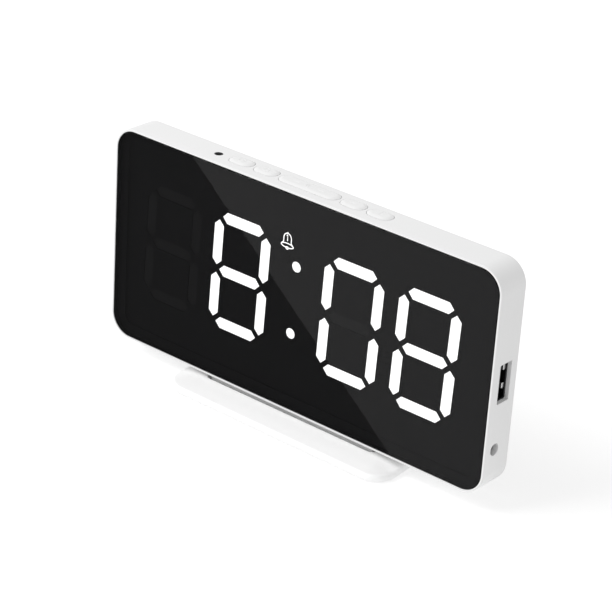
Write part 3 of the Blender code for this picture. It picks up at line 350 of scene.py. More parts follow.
class Graph:
    """Builds the nodes of one finish."""

    def __init__(self, name):
        self.material = bpy.data.materials.new(FINISH_PREFIX + name)
        self.material.use_nodes = True
        self.tree = self.material.node_tree
        self.tree.nodes.clear()
        self.coordinates = self.node("ShaderNodeTexCoord", output="Object")

    def node(self, kind, settings=None, inputs=None, output=0):
        """Adds a node, sets it up, then fills or links its sockets. Gives the asked output."""
        made = self.tree.nodes.new(kind)
        for name, value in (settings or {}).items():
            setattr(made, name, value)
        for name, value in (inputs or {}).items():
            if isinstance(value, Value):
                self.tree.links.new(value.socket, made.inputs[name])
            else:
                made.inputs[name].default_value = value
        return Value(self, made.outputs[output]) if len(made.outputs) else None

    def math(self, operation, first, second):
        return self.node("ShaderNodeMath", {"operation": operation}, {0: first, 1: second})

    def clamp(self, value, low, high):
        return self.node("ShaderNodeClamp", inputs={"Value": value, "Min": low, "Max": high})

    def mix(self, factor, first, second):
        """A colour between first and second."""
        return self.node("ShaderNodeMix", {"data_type": "RGBA"}, {0: factor, 6: first, 7: second}, output=2)

    def stretched(self, scale):
        """Coordinates stretched along the axes, for grain that runs one way."""
        return self.node("ShaderNodeMapping", inputs={"Vector": self.coordinates, "Scale": scale})

    def noise(self, scale, detail=2.0, roughness=0.5, vector=None):
        inputs = {"Vector": vector or self.coordinates, "Scale": scale, "Detail": detail}
        return self.node("ShaderNodeTexNoise", inputs={**inputs, "Roughness": roughness})

    def cells(self, scale):
        inputs = {"Vector": self.coordinates, "Scale": scale}
        return self.node("ShaderNodeTexVoronoi", inputs=inputs, output="Distance")

    def bump(self, height, depth):
        return self.node("ShaderNodeBump", inputs={"Strength": 1.0, "Distance": depth, "Height": height})

    def finish(self, inputs):
        """Ends the graph in one Principled shader."""
        surface = self.node("ShaderNodeBsdfPrincipled", inputs=inputs)
        self.node("ShaderNodeOutputMaterial", inputs={"Surface": surface})
        return self.material


def shade(colour, factor):
    """The colour made darker or lighter, with full opacity."""
    return (*[min(channel * factor, 1.0) for channel in colour], 1.0)


# ---------------------------------------------------------------------------
# Finishes
# ---------------------------------------------------------------------------

def moulded(name, colour, roughness, grain=5200, depth=0.000006, speck=0.985):
    """Spark-eroded moulded plastic: fine grain, faint flow tone, handling marks and a few specks."""
    graph = Graph(name)
    fine = graph.noise(grain, detail=3.0)
    soft = graph.noise(grain / 7, detail=2.0)
    tone = graph.noise(16, detail=3.0, roughness=0.6)
    marks = graph.noise(85, detail=5.0, roughness=0.65)
    specks = graph.cells(900) < 0.035
    body = graph.mix(tone, shade(colour, 0.975), shade(colour, 1.02))
    body = graph.mix(specks * 0.5, body, shade(colour, speck * 0.93))
    rough = graph.clamp(roughness + (marks - 0.5) * 0.16 + (fine - 0.5) * 0.08, 0.05, 1.0)
    normal = graph.bump(fine * 0.75 + soft * 0.25, depth)
    return graph.finish({"Base Color": body, "Roughness": rough, "Normal": normal, "IOR": 1.49})


def smoked_acrylic(name, colour, density, gloss):
    """Smoked mirror-polish acrylic: nearly black, with faint wipe marks and dust."""
    graph = Graph(name)
    wipes = graph.noise(24, detail=4.0, roughness=0.6, vector=graph.stretched((1.0, 1.0, 2.6)))
    dust = graph.cells(700) < 0.016
    body = graph.mix(dust * 0.2, shade(colour, 1.0), (0.03, 0.03, 0.03, 1.0))
    rough = 0.002 + wipes * 0.010
    inputs = {"Base Color": body, "Roughness": rough, "IOR": 1.49, "Specular IOR Level": gloss}
    return graph.finish({**inputs, "Alpha": density})


def black_print(name, colour):
    """Screen-printed black ink: dead flat, with a fine mesh grain."""
    graph = Graph(name)
    mesh = graph.noise(2600, detail=1.0)
    body = graph.mix(graph.noise(40, detail=3.0), shade(colour, 0.85), shade(colour, 1.15))
    rough = 0.62 + (mesh - 0.5) * 0.1
    inputs = {"Base Color": body, "Roughness": rough, "Specular IOR Level": 0.05}
    return graph.finish({**inputs, "Normal": graph.bump(mesh, 0.000001)})


def lit_diffuser(name, colour, strength):
    """A diffuser with a lamp behind it: even white light, with a trace of the diffuser's grain."""
    graph = Graph(name)
    grain = graph.noise(1500, detail=2.0)
    light = graph.mix(grain, shade(colour, 0.985), shade(colour, 1.0))
    rough = 0.4 + (grain - 0.5) * 0.1
    inputs = {"Base Color": light, "Roughness": rough, "Emission Color": light, "Emission Strength": strength}
    return graph.finish(inputs)


def resting_diffuser(name, colour):
    """The same diffuser with its lamp off."""
    graph = Graph(name)
    grain = graph.noise(1500, detail=2.0)
    body = graph.mix(grain, shade(colour, 0.9), shade(colour, 1.1))
    inputs = {"Base Color": body, "Roughness": 0.45 + (grain - 0.5) * 0.1, "Specular IOR Level": 0.1}
    return graph.finish(inputs)


def worked_metal(name, colour, roughness, along=(1.0, 1.0, 0.05), scale=3000):
    """Rolled or turned metal with fine lines along one way, and dull patches where it was handled."""
    graph = Graph(name)
    lines = graph.noise(scale, detail=3.0, vector=graph.stretched(along))
    dull = graph.noise(260, detail=4.0, roughness=0.6)
    body = graph.mix(dull, shade(colour, 0.86), shade(colour, 1.08))
    rough = graph.clamp(roughness + (lines - 0.5) * 0.16 + (dull - 0.5) * 0.14, 0.08, 1.0)
    normal = graph.bump(lines, 0.000003)
    return graph.finish({"Base Color": body, "Roughness": rough, "Metallic": 1.0, "Normal": normal})


def circuit_board(name, colour):
    """Solder mask over copper tracks, with tinned pads showing through."""
    graph = Graph(name)
    tracks = graph.node("ShaderNodeTexBrick", {"offset": 0.35},
                        {"Vector": graph.coordinates, "Scale": 260.0, "Mortar Size": 0.12}, output="Fac")
    pads = graph.cells(420) < 0.09
    weave = graph.noise(2400, detail=2.0)
    body = graph.mix(tracks, shade(colour, 0.8), shade(colour, 1.7))
    body = graph.mix(pads, body, (0.62, 0.60, 0.55, 1.0))
    normal = graph.bump(tracks * 0.7 + weave * 0.3, 0.00001)
    rough = graph.clamp(0.34 - pads * 0.08 + (weave - 0.5) * 0.1, 0.1, 1.0)
    return graph.finish({"Base Color": body, "Roughness": rough, "Metallic": pads * 0.8, "Normal": normal})


def rubber(name, colour):
    """Matt rubber with a dusty bloom and a fine pebble."""
    graph = Graph(name)
    pebble = graph.cells(2600)
    bloom = graph.noise(180, detail=4.0)
    body = graph.mix(bloom, shade(colour, 0.8), shade(colour, 1.6))
    rough = 0.82 + (bloom - 0.5) * 0.12
    return graph.finish({"Base Color": body, "Roughness": rough, "Normal": graph.bump(pebble, 0.00001)})


def dark_lens(name, colour):
    """Dark tinted epoxy lens, glossy with a slight ripple."""
    graph = Graph(name)
    ripple = graph.noise(900, detail=1.0)
    body = graph.mix(ripple, shade(colour, 0.8), shade(colour, 1.3))
    rough = 0.30 + ripple * 0.05
    return graph.finish({"Base Color": body, "Roughness": rough, "Normal": graph.bump(ripple, 0.000004)})


def flat_cable(name, colour):
    """Flat cable: pale film with the wires' lines showing."""
    graph = Graph(name)
    wires = graph.node("ShaderNodeTexWave", {"bands_direction": "X"},
                       {"Vector": graph.coordinates, "Scale": 320.0, "Distortion": 0.0}, output="Fac")
    body = graph.mix(wires, shade(colour, 0.75), shade(colour, 1.1))
    rough = 0.4 + wires * 0.1
    return graph.finish({"Base Color": body, "Roughness": rough, "Normal": graph.bump(wires, 0.00004)})


def glue_tape(name, colour):
    """Black foam tape with its closed cells."""
    graph = Graph(name)
    foam = graph.cells(3000)
    body = graph.mix(foam, shade(colour, 0.7), shade(colour, 1.5))
    inputs = {"Base Color": body, "Roughness": 0.7 + foam * 0.2, "Specular IOR Level": 0.05}
    return graph.finish({**inputs, "Normal": graph.bump(foam, 0.00001)})


# Each finish from its name, the clock's colours and the studio's settings.
FINISHES = {
    "white_shell": lambda name, c, s: moulded(name, c.shell, 0.44),
    "white_button": lambda name, c, s: moulded(name, c.button, 0.38, grain=7000, depth=0.000004),
    # The foot's finish takes that lighter white: painted light over the shade that the case throws on the
    # foot.
    "white_foot": lambda name, c, s: moulded(name, c.foot, 0.36, grain=6200, depth=0.000004),
    "smoked_acrylic": lambda name, c, s: smoked_acrylic(name, c.acrylic, s.smoke, s.panel_gloss),
    "glued_acrylic": lambda name, c, s: smoked_acrylic(name, c.acrylic, s.smoke_behind, 0.0),
    "black_print": lambda name, c, s: black_print(name, c.mask),
    "lit_segment": lambda name, c, s: lit_diffuser(name, c.light, s.glow),
    "resting_segment": lambda name, c, s: resting_diffuser(name, c.resting),
    "bright_steel": lambda name, c, s: worked_metal(name, c.steel, 0.30),
    "polished_steel": lambda name, c, s: worked_metal(name, c.polish, 0.16),
    "dark_nickel": lambda name, c, s: worked_metal(name, c.nickel, 0.38),
    "turned_steel": lambda name, c, s: worked_metal(name, c.steel, 0.24, along=(1.0, 0.2, 1.0)),
    "gold_contact": lambda name, c, s: worked_metal(name, c.gold, 0.22, along=(0.05, 1.0, 1.0)),
    "circuit_board": lambda name, c, s: circuit_board(name, c.board),
    "black_moulding": lambda name, c, s: moulded(name, c.dark, 0.5, speck=1.4),
    "grey_moulding": lambda name, c, s: moulded(name, c.jack, 0.42, speck=1.2),
    "black_chip": lambda name, c, s: moulded(name, c.dark, 0.42, grain=9000, speck=1.6),
    "sensor_lens": lambda name, c, s: dark_lens(name, c.lens),
    "rubber": lambda name, c, s: rubber(name, c.rubber),
    "ribbon": lambda name, c, s: flat_cable(name, c.ribbon),
    "glue_tape": lambda name, c, s: glue_tape(name, c.mask),
}

# The finish of each CAD node that is shown as it is.
CARRIED = {
    "glue_tape": ("panel_tape",),
    "black_moulding": ("display_frame", "buzzer", "battery_holder"),
    "circuit_board": ("display_board", "key_board"),
    "black_chip": ("controller_chip",),
    "bright_steel": ("crystal_can", "coin_cell", "battery_contact"),
    "turned_steel": tuple(f"board_screw_{number}" for number in range(1, 5)),
    "ribbon": ("ribbon_cable",),
}


def finish_named(name):
    """The finish of this name, made the first time that it is asked for."""
    scene = bpy.context.scene
    known = bpy.data.materials.get(FINISH_PREFIX + name)
    return known or FINISHES[name](name, scene.clock_colours, scene.clock_studio)


# ---------------------------------------------------------------------------
# Outlines: each gives its points when it is told how far to draw in
# ---------------------------------------------------------------------------

def rounded_outline(centre, width, height, corner, steps=CORNER_STEPS):
    """A rectangle with round corners about a centre."""

    def points_at(inset):
        radius = max(corner - inset, LEAST_CORNER)
        points = []
        for turn, (side_x, side_y) in enumerate(((1, 1), (-1, 1), (-1, -1), (1, -1))):
            middle_x = centre[0] + side_x * (width / 2 - inset - radius)
            middle_y = centre[1] + side_y * (height / 2 - inset - radius)
            for i in range(steps + 1):
                angle = (turn + i / steps) * pi / 2
                points.append((middle_x + radius * cos(angle), middle_y + radius * sin(angle)))
        return points

    return points_at


def round_outline(centre, radius, steps=CORNER_STEPS):
    return rounded_outline(centre, 2 * radius, 2 * radius, radius, steps)


def pill_outline(centre, length, width):
    return rounded_outline(centre, length, width, width / 2)


def turned_outline(outline, centre, angle):
    """The outline turned about a point."""
    spin = Matrix.Rotation(angle, 2)
    middle = Vector(centre)

    def points_at(inset):
        return [tuple(middle + spin @ (Vector(point) - middle)) for point in outline(inset)]

    return points_at


# ---------------------------------------------------------------------------
# Solids
# ---------------------------------------------------------------------------

PLANES = {
    "front": lambda u, v, level: (u, level, v),
    "top": lambda u, v, level: (u, v, level),
    "side": lambda u, v, level: (level, u, v),
}


def rounded_end(end, way, radius):
    """Levels as (place, inset) that round off the end of a solid, from its side to its face."""
    if not radius:
        return [(end, 0.0)]
    angles = [pi / 2 * i / EDGE_STEPS for i in range(EDGE_STEPS + 1)]
    return [(end - way * radius * (1 - sin(angle)), radius * (1 - cos(angle))) for angle in angles]


def rounded_levels(low, high, low_round, high_round):
    """Levels from low to high as (place, inset), with quarter rounds at the ends."""
    return rounded_end(low, -1, low_round)[::-1] + rounded_end(high, 1, high_round)


def mesh_of(work):
    """Ends a bmesh as a clean mesh with its faces turned outwards."""
    bmesh.ops.remove_doubles(work, verts=work.verts, dist=SAME_POINT)
    bmesh.ops.recalc_face_normals(work, faces=work.faces)
    mesh = bpy.data.meshes.new("shape")
    work.to_mesh(mesh)
    work.free()
    return mesh


def lofted(outline, levels, plane):
    """A closed solid through the outline at each level, drawn in by each level's inset."""
    work = bmesh.new()
    lay = PLANES[plane]
    rings = [[work.verts.new(lay(u, v, level)) for u, v in outline(inset)] for level, inset in levels]
    for lower, upper in zip(rings, rings[1:]):
        for i in range(len(lower)):
            after = (i + 1) % len(lower)
            work.faces.new((lower[i], lower[after], upper[after], upper[i]))
    work.faces.new(rings[0])
    work.faces.new(rings[-1])
    return mesh_of(work)


def evaluated_mesh(thing):
    """The mesh of an object with its modifiers or its curve worked out; the object is removed."""
    bpy.context.view_layer.update()
    graph = bpy.context.evaluated_depsgraph_get()
    mesh = bpy.data.meshes.new_from_object(thing.evaluated_get(graph))
    bpy.data.objects.remove(thing)
    return mesh


def linked(name, data):
    thing = bpy.data.objects.new(name, data)
    bpy.context.scene.collection.objects.link(thing)
    return thing


def drawn(curve, paths, plane, level, flatness):
    """The mesh of a flat curve through paths of (points, closed), laid at a level of a plane."""
    for points, closed in paths:
        spline = curve.splines.new("POLY")
        spline.points.add(len(points) - 1)
        for point, (u, v) in zip(spline.points, points):
            point.co = (u, v, 0.0, 1.0)
        spline.use_cyclic_u = closed
    work = bmesh.new()
    work.from_mesh(evaluated_mesh(linked("drawing", curve)))
    for vertex in work.verts:
        vertex.co = PLANES[plane](vertex.co.x, vertex.co.y, level + vertex.co.z * flatness)
    bpy.data.curves.remove(curve)
    return mesh_of(work)


def filled(outlines, low, high, plane):
    """Flat outlines, the inner ones as holes, made solid from low to high."""
    curve = bpy.data.curves.new("outline", "CURVE")
    curve.dimensions = "2D"
    curve.fill_mode = "BOTH"
    curve.extrude = (high - low) / 2
    return drawn(curve, [(outline, True) for outline in outlines], plane, (low + high) / 2, 1.0)


def ridges(paths, radius, flatness, level, plane):
    """Rounded raised lines along flat paths. Each path is (points, closed)."""
    curve = bpy.data.curves.new("lines", "CURVE")
    curve.dimensions = "3D"
    curve.bevel_depth = radius
    curve.bevel_resolution = 3
    curve.use_fill_caps = True
    return drawn(curve, paths, plane, level, flatness)


def shaped(base, cutters=(), additions=()):
    """The base with the additions joined on, and then the cutters taken out."""
    thing = linked("blank", base)
    helpers = []
    for operation, meshes in (("UNION", additions), ("DIFFERENCE", cutters)):
        for mesh in meshes:
            helper = linked("tool", mesh)
            helpers.append(helper)
            step = thing.modifiers.new(operation, "BOOLEAN")
            step.operation = operation
            step.solver = "EXACT"
            step.object = helper
    mesh = evaluated_mesh(thing)
    for helper in helpers:
        bpy.data.objects.remove(helper)
    work = bmesh.new()
    work.from_mesh(mesh)
    return mesh_of(work)


def joined(meshes):
    """Several meshes as one, with the material index of each kept."""
    work = bmesh.new()
    for mesh in meshes:
        work.from_mesh(mesh)
    return mesh_of(work)


def arc(centre, radius_x, radius_y, start, end, steps):
    """Points of an arc, with its angles in degrees."""
    turns = [radians(start + (end - start) * i / steps) for i in range(steps + 1)]
    return [(centre[0] + radius_x * cos(turn), centre[1] + radius_y * sin(turn)) for turn in turns]


def piece(name, mesh, finishes, body, replaces=(), in_case=True):
    """A finished piece that rides on a CAD body and stands for the CAD nodes that it replaces."""
    mesh.name = name
    if in_case:
        mesh.transform(TO_WORLD)
    for finish in finishes:
        mesh.materials.append(finish_named(finish))
    mesh.shade_smooth()
    mesh.set_sharp_from_angle(angle=SMOOTH_ANGLE)
    thing = linked(name, mesh)
    flats = thing.modifiers.new("flats", "WEIGHTED_NORMAL")
    flats.keep_sharp = True
    flats.weight = SHARPEST_WEIGHT
    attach(thing, body)
    if replaces:
        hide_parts(*replaces)
    return thing


# ---------------------------------------------------------------------------
# Pieces
# ---------------------------------------------------------------------------

def through(outline, low, high, plane):
    """A cutter or a bar of one outline from low to high."""
    return lofted(outline, [(low, 0.0), (high, 0.0)], plane)


def middle_of(node, first, second):
    """The middle of a CAD node's box along two of the case's directions."""
    low, high = place_of(node)
    return (low[first] + high[first]) / 2, (low[second] + high[second]) / 2


def mouth(outline, inside, outside, way, plane, chamfer):
    """A cutter for an opening in a wall, with a chamfer at the outer face."""
    levels = [(inside, 0.0), (outside - way * chamfer, 0.0), (outside + way * OVERCUT, -chamfer - OVERCUT)]
    return lofted(outline, levels, plane)


def button_outline(node, grow):
    """The pill outline of a button's cap, from its CAD node and grown by some clearance."""
    above = [point - ORIGIN for point in lean_points(node) if point.z - ORIGIN.z > CASE_HEIGHT - LEAST_CORNER]
    left = min(point.x for point in above)
    right = max(point.x for point in above)
    front = min(point.y for point in above)
    back = max(point.y for point in above)
    centre = ((left + right) / 2, (front + back) / 2)
    return pill_outline(centre, right - left + 2 * grow, back - front + 2 * grow)


def case_outline(sizes, inset):
    """The case's outline seen from the front, drawn in by the thickness of its rim or its wall."""
    width = CASE_WIDTH - 2 * inset
    return rounded_outline((0.0, CASE_MID), width, CASE_HEIGHT - 2 * inset, sizes.case_corner - inset)


def build_housing(sizes):
    """The white shell with its rim, its openings and the tongue that stands in the foot."""
    levels = rounded_levels(0.0, CASE_DEPTH, sizes.front_round, sizes.back_round)
    shell = lofted(case_outline(sizes, 0.0), levels, "front")
    cutters = [
        mouth(case_outline(sizes, sizes.rim), sizes.rebate, 0.0, -1, "front", sizes.mouth_chamfer / 2),
        through(case_outline(sizes, sizes.wall), -2 * OVERCUT, CASE_DEPTH + OVERCUT, "front"),
    ]

    openings = [button_outline(name, sizes.gap) for name in BUTTONS]
    openings.append(round_outline(middle_of("light_sensor", 0, 1), sizes.sensor_hole))
    floor = CASE_HEIGHT - sizes.wall - sizes.gap
    for outline in openings:
        cutters.append(mouth(outline, floor, CASE_HEIGHT, 1, "top", sizes.mouth_chamfer))

    side = CASE_WIDTH / 2
    wall_inside = side - sizes.wall - sizes.gap
    socket = rounded_outline(middle_of("usb_shell", 1, 2), sizes.socket_wide, sizes.socket_tall, sizes.gap)
    jack = round_outline(middle_of("power_jack", 1, 2), sizes.jack_hole)
    for outline in (socket, jack):
        cutters.append(mouth(outline, wall_inside, side, 1, "side", sizes.mouth_chamfer))

    clear = 10 * sizes.gap
    tongue_middle = (0.0, sizes.well_setback + sizes.well_width / 2)
    tongue = rounded_outline(tongue_middle, sizes.well_length - clear, sizes.well_width - clear, sizes.gap)
    additions = [through(tongue, TONGUE_END, sizes.wall / 2, "top")]
    piece("housing_shell", shaped(shell, cutters, additions), ["white_shell"], "case",
          ["front_housing"])


def build_panel(sizes):
    """The smoked front panel, the black edge behind the rim and the printed mask with its windows."""
    width = PANEL_HIGH.x - PANEL_LOW.x
    height = PANEL_HIGH.z - PANEL_LOW.z
    outline = rounded_outline((0.0, CASE_MID), width, height, sizes.case_corner - PANEL_MARGIN)
    glass = lofted(outline, rounded_levels(0.0, sizes.panel_thick, sizes.panel_round, 0.0), "front")
    for face in glass.polygons:
        face.material_index = 1 if face.center.y > sizes.panel_thick - SAME_POINT else 0
    piece("panel_glass", glass, ["smoked_acrylic", "glued_acrylic"], "case",
          ["front_panel"])

    tape_front = place_of("panel_tape")[0].y
    band = [outline(-sizes.band_outside), outline(-sizes.band_inside)]
    band = filled(band, sizes.panel_round, tape_front, "front")
    border_front = sizes.panel_thick + sizes.film_gap
    border = [outline(0.0), outline(sizes.ink_border)]
    border = filled(border, border_front, border_front + sizes.mask_thick, "front")
    piece("panel_edge_ink", joined([band, border]), ["black_print"], "case")

    windows = []
    for node in SHOWN:
        windows += [segment(0.0) for segment in segment_outlines(node, sizes)]
    windows += [dot(0.0) for dot in dot_outlines(sizes)]
    edge = case_outline(sizes, sizes.wall)(sizes.mask_gap)
    front = mask_front(sizes)
    mask = filled([edge, *windows], front, front + sizes.mask_thick, "front")
    piece("panel_mask", mask, ["black_print"], "case")


def mask_front(sizes):
    """How far behind the case's front the printed mask begins."""
    return place_of("display_frame")[0].y - sizes.mask_gap - sizes.mask_thick


def segment_outlines(node, sizes):
    """The seven segments of a digit, as outlines that can be drawn in or grown."""
    centre = middle_of(node, 0, 2)
    lean = tan(sizes.slant)

    def segment(place, length, upright):
        def points_at(inset):
            along = length / 2 - inset
            across = sizes.stroke / 2 - inset
            tip = sizes.tip - inset
            flat = [(-along, 0), (tip - along, -across), (along - tip, -across), (along, 0)]
            flat += [(along - tip, across), (tip - along, across)]
            if upright:
                flat = [(-v, u) for u, v in flat]
            turned = [(place[0] + u, place[1] + v) for u, v in flat]
            return [(u + (v - centre[1]) * lean, v) for u, v in turned]

        return points_at

    found = []
    for row in (-1, 0, 1):
        found.append(segment((centre[0], centre[1] + row * sizes.row_rise), sizes.bar_length, False))
    for side in (-1, 1):
        for row in (-0.5, 0.5):
            place = (centre[0] + side * sizes.half_span, centre[1] + row * sizes.row_rise)
            found.append(segment(place, sizes.post_length, True))
    return found


def dot_outlines(sizes):
    """The colon's two dots."""
    centre = middle_of("colon_guide", 0, 2)
    dots = []
    for side in (-1, 1):
        rise = side * sizes.dot_rise
        dots.append(round_outline((centre[0] + rise * tan(sizes.slant), centre[1] + rise), sizes.dot_radius))
    return dots


def light_block(outline, node, sizes):
    """One light guide's block: a head that fills its window, on the body that reaches back to the lamps."""
    back = place_of(node)[1].y
    frame_front = place_of("display_frame")[0].y
    front = frame_front - sizes.light_proud
    head = [(front, -sizes.light_overlap), (frame_front + sizes.gap, -sizes.light_overlap)]
    return lofted(outline, [*head, (back, 0.0)], "front")


def build_display(sizes):
    """Lit and resting segments, the colon and the bell sign."""
    for node, lit in SHOWN.items():
        blocks = []
        for outline, on in zip(segment_outlines(node, sizes), lit):
            mesh = light_block(outline, node, sizes)
            for face in mesh.polygons:
                face.material_index = 0 if on else 1
            blocks.append(mesh)
        name = node.replace("guide", "light")
        piece(name, joined(blocks), ["lit_segment", "resting_segment"], "case", [node])
    dots = joined([light_block(outline, "colon_guide", sizes) for outline in dot_outlines(sizes)])
    piece("colon_light", dots, ["lit_segment"], "case", ["colon_guide"])

    paths = bell_paths(middle_of("bell_guide", 0, 2), sizes)
    sign = ridges(paths, sizes.sign_stroke / 2, 0.35, mask_front(sizes), "front")
    piece("bell_sign", sign, ["lit_segment"], "case", ["bell_guide"])


def bell_paths(centre, sizes):
    """A plain bell: crown, flared sides, mouth as a flat ring, clapper and the figure of the first alarm."""
    half = sizes.sign_width / 2
    centre = (centre[0], centre[1] + sizes.sign_lift)
    foot = centre[1] - sizes.sign_height / 2 + half * 0.3
    top = centre[1] + sizes.sign_height / 2
    waist = half * 0.62
    shoulder = foot + (top - foot) * 0.58
    left = [(centre[0] - half, foot), (centre[0] - waist, foot + (shoulder - foot) * 0.45)]
    crown = arc((centre[0], shoulder), waist, top - shoulder, 180, 0, 12)
    right = [(centre[0] + waist, foot + (shoulder - foot) * 0.45), (centre[0] + half, foot)]
    ring = arc((centre[0], foot), half, half * 0.3, 0, 360, 28)[:-1]
    clapper = arc((centre[0], foot - half * 0.34), half * 0.2, half * 0.16, 0, 360, 12)[:-1]
    knob = [(centre[0], top), (centre[0], top + half * 0.18)]
    tall = (shoulder - foot) * 0.9
    base = foot + half * 0.62
    figure = [(centre[0] - half * 0.16, base + tall * 0.78), (centre[0], base + tall), (centre[0], base)]
    return [(left + crown + right, False), (ring, True), (clapper, True), (knob, False), (figure, False)]


def symbol_paths(name, centre, size):
    """Generic raised signs for the buttons: clock, bell, moon, minus and plus."""
    x, y = centre
    level = ([(x - size * 0.88, y), (x + size * 0.88, y)], False)
    upright = ([(x, y - size * 0.88), (x, y + size * 0.88)], False)
    dial = (arc(centre, size, size, 0, 360, 24)[:-1], True)
    hands = ([(x, y + size * 0.64), (x, y), (x + size * 0.44, y)], False)
    dome = arc((x, y + size * 0.16), size * 0.64, size * 0.8, 0, 180, 12)
    foot = y - size * 0.64
    bell = ([(x + size * 0.96, foot), *dome, (x - size * 0.96, foot)], True)
    clapper = ([(x - size * 0.24, y - size * 1.04), (x + size * 0.24, y - size * 1.04)], False)
    outer = arc(centre, size * 1.12, size * 1.12, 60, 300, 18)
    inner = arc((x + size * 0.56, y), size * 0.976, size * 0.976, 275, 85, 14)
    moon = (outer + inner, True)
    dashes = [([(x + side * size * 2.88, y), (x + side * size * 4.96, y)], False) for side in (-1, 1)]
    signs = {
        "time_button": [dial, hands],
        "alarm_button": [bell, clapper],
        "snooze_button": [moon, *dashes],
        "down_button": [level],
        "up_button": [level, upright],
    }
    return signs[name]


def build_buttons(sizes):
    """Five caps with soft edges, lips under the wall and raised signs."""
    for name in BUTTONS:
        low, high = place_of(name)
        outline = button_outline(name, 0.0)
        lip = (high.x - low.x) / 2 - max(u for u, v in outline(0.0)) + (high.x + low.x) / 2
        lip_top = CASE_HEIGHT - sizes.wall - sizes.gap
        lip_bottom = low.z + sizes.gap
        shrink = sizes.cap_gap - sizes.gap
        edge = CASE_HEIGHT + sizes.cap_edge
        levels = [(lip_bottom, -lip), (lip_top, -lip), (lip_top, shrink), (edge - sizes.cap_gap, shrink)]
        for i in range(EDGE_STEPS * 2 + 1):
            along = i / (EDGE_STEPS * 2)
            rise = (high.z - edge) * sin(along * pi / 2)
            levels.append((edge + rise, shrink + sizes.cap_gap / 2 + sizes.cap_dome * along))
        centre = middle_of(name, 0, 1)
        stem = through(round_outline(centre, sizes.stem_radius), low.z, lip_bottom + sizes.gap, "top")
        cap = shaped(lofted(outline, levels, "top"), additions=[stem])
        piece(f"{name}_cap", cap, ["white_button"], name, [name])
        paths = symbol_paths(name, centre, sizes.symbol_size)
        sign = ridges(paths, sizes.symbol_radius, 0.55, high.z, "top")
        piece(f"{name}_sign", sign, ["white_button"], name)


def build_sensor(sizes):
    """The light sensor: a domed dark lens on its flange, seen down its hole with its bezel."""
    low, high = place_of("light_sensor")
    centre = middle_of("light_sensor", 0, 1)
    flange = (high.x - low.x) / 2
    radius = flange - sizes.gap
    dome = radius * 0.6
    shoulder = low.z + sizes.sensor_flange
    levels = [(low.z, 0.0), (shoulder, 0.0), (shoulder, sizes.gap)]
    for i in range(EDGE_STEPS * 2):
        turn = pi / 2 * i / (EDGE_STEPS * 2)
        levels.append((high.z - dome * (1 - sin(turn)), flange - radius * cos(turn)))
    lens = lofted(round_outline(centre, flange), levels, "top")
    piece("sensor_dome", lens, ["sensor_lens"], "case", ["light_sensor"])
    bore = round_outline(centre, sizes.sensor_hole - sizes.bezel_gap)
    rim = CASE_HEIGHT - sizes.mouth_chamfer
    bezel = filled([bore(0.0), bore(sizes.bezel_thick)], high.z - sizes.gap, rim, "top")
    piece("sensor_bezel", bezel, ["grey_moulding"], "case")


def build_usb(sizes):
    """USB socket: folded steel shell with a lead-in and spring slots, tongue and sprung contacts."""
    low, high = place_of("usb_shell")
    centre = middle_of("usb_shell", 1, 2)
    wide = high.y - low.y
    tall = high.z - low.z
    metal = sizes.sheet
    mouth_end = high.x + sizes.cage_reach
    shell = through(rounded_outline(centre, wide, tall, metal * 2), low.x, mouth_end, "side")
    hollow = rounded_outline(centre, wide - 2 * metal, tall - 2 * metal, metal)
    cutters = [mouth(hollow, low.x + metal, mouth_end, 1, "side", metal * 0.7)]
    slot_middle = low.x + (high.x - low.x) * 0.62
    for side in (-1, 1):
        slot = pill_outline((slot_middle, centre[1] + side * tall / 4), sizes.spring_long, sizes.spring_wide)
        cutters.append(through(slot, low.y - OVERCUT, high.y + OVERCUT, "front"))
    piece("usb_cage", shaped(shell, cutters), ["dark_nickel"], "case", ["usb_shell"])

    low, high = place_of("usb_tongue")
    centre = middle_of("usb_tongue", 1, 2)
    outline = rounded_outline(centre, high.y - low.y, high.z - low.z, metal / 2)
    parts = [lofted(outline, rounded_levels(low.x, high.x, 0.0, metal / 2), "side")]
    for rise in (sizes.clip_high, sizes.clip_low):
        spot = (centre[0] + 2 * metal, centre[1] + rise)
        plate = rounded_outline(spot, sizes.clip_wide, sizes.clip_tall, metal / 2)
        levels = rounded_levels(high.x - metal, mouth_end - sizes.clip_back, 0.0, metal / 3)
        clip = lofted(plate, levels, "side")
        for face in clip.polygons:
            face.material_index = 1
        parts.append(clip)
    piece("usb_core", joined(parts), ["black_moulding", "polished_steel"], "case",
          ["usb_tongue"])

    for node in USB_CONTACTS:
        low, high = place_of(node)
        strip = rounded_outline(middle_of(node, 1, 2), high.y - low.y, high.z - low.z, LEAST_CORNER)
        levels = [(low.x, 0.0), (high.x - metal, 0.0), (high.x, LEAST_CORNER)]
        piece(node.replace("contact", "spring"), lofted(strip, levels, "side"), ["gold_contact"], "case",
              [node])


def build_jack(sizes):
    """Power jack: a grey collar in its hole with a lead-in, and the pin."""
    low, high = place_of("power_jack")
    centre = middle_of("power_jack", 1, 2)
    pin_low, pin_high = place_of("power_jack_pin")
    block = rounded_outline(centre, high.y - low.y - sizes.jack_clear, high.z - low.z, sizes.gap * 2)
    block = lofted(block, rounded_levels(low.x, high.x, sizes.gap, 0.0), "side")
    levels = [(pin_low.x - sizes.gap, 0.0), (high.x - sizes.gap, 0.0), (high.x + OVERCUT, -OVERCUT)]
    bore = lofted(round_outline(centre, sizes.jack_hole - sizes.gap), levels, "side")
    piece("jack_collar", shaped(block, [bore]), ["grey_moulding"], "case", ["power_jack"])
    pin = round_outline(centre, (pin_high.y - pin_low.y) / 2)
    levels = rounded_levels(pin_low.x, pin_high.x, 0.0, sizes.gap)
    piece("jack_pin", lofted(pin, levels, "side"), ["turned_steel"], "case",
          ["power_jack_pin"])


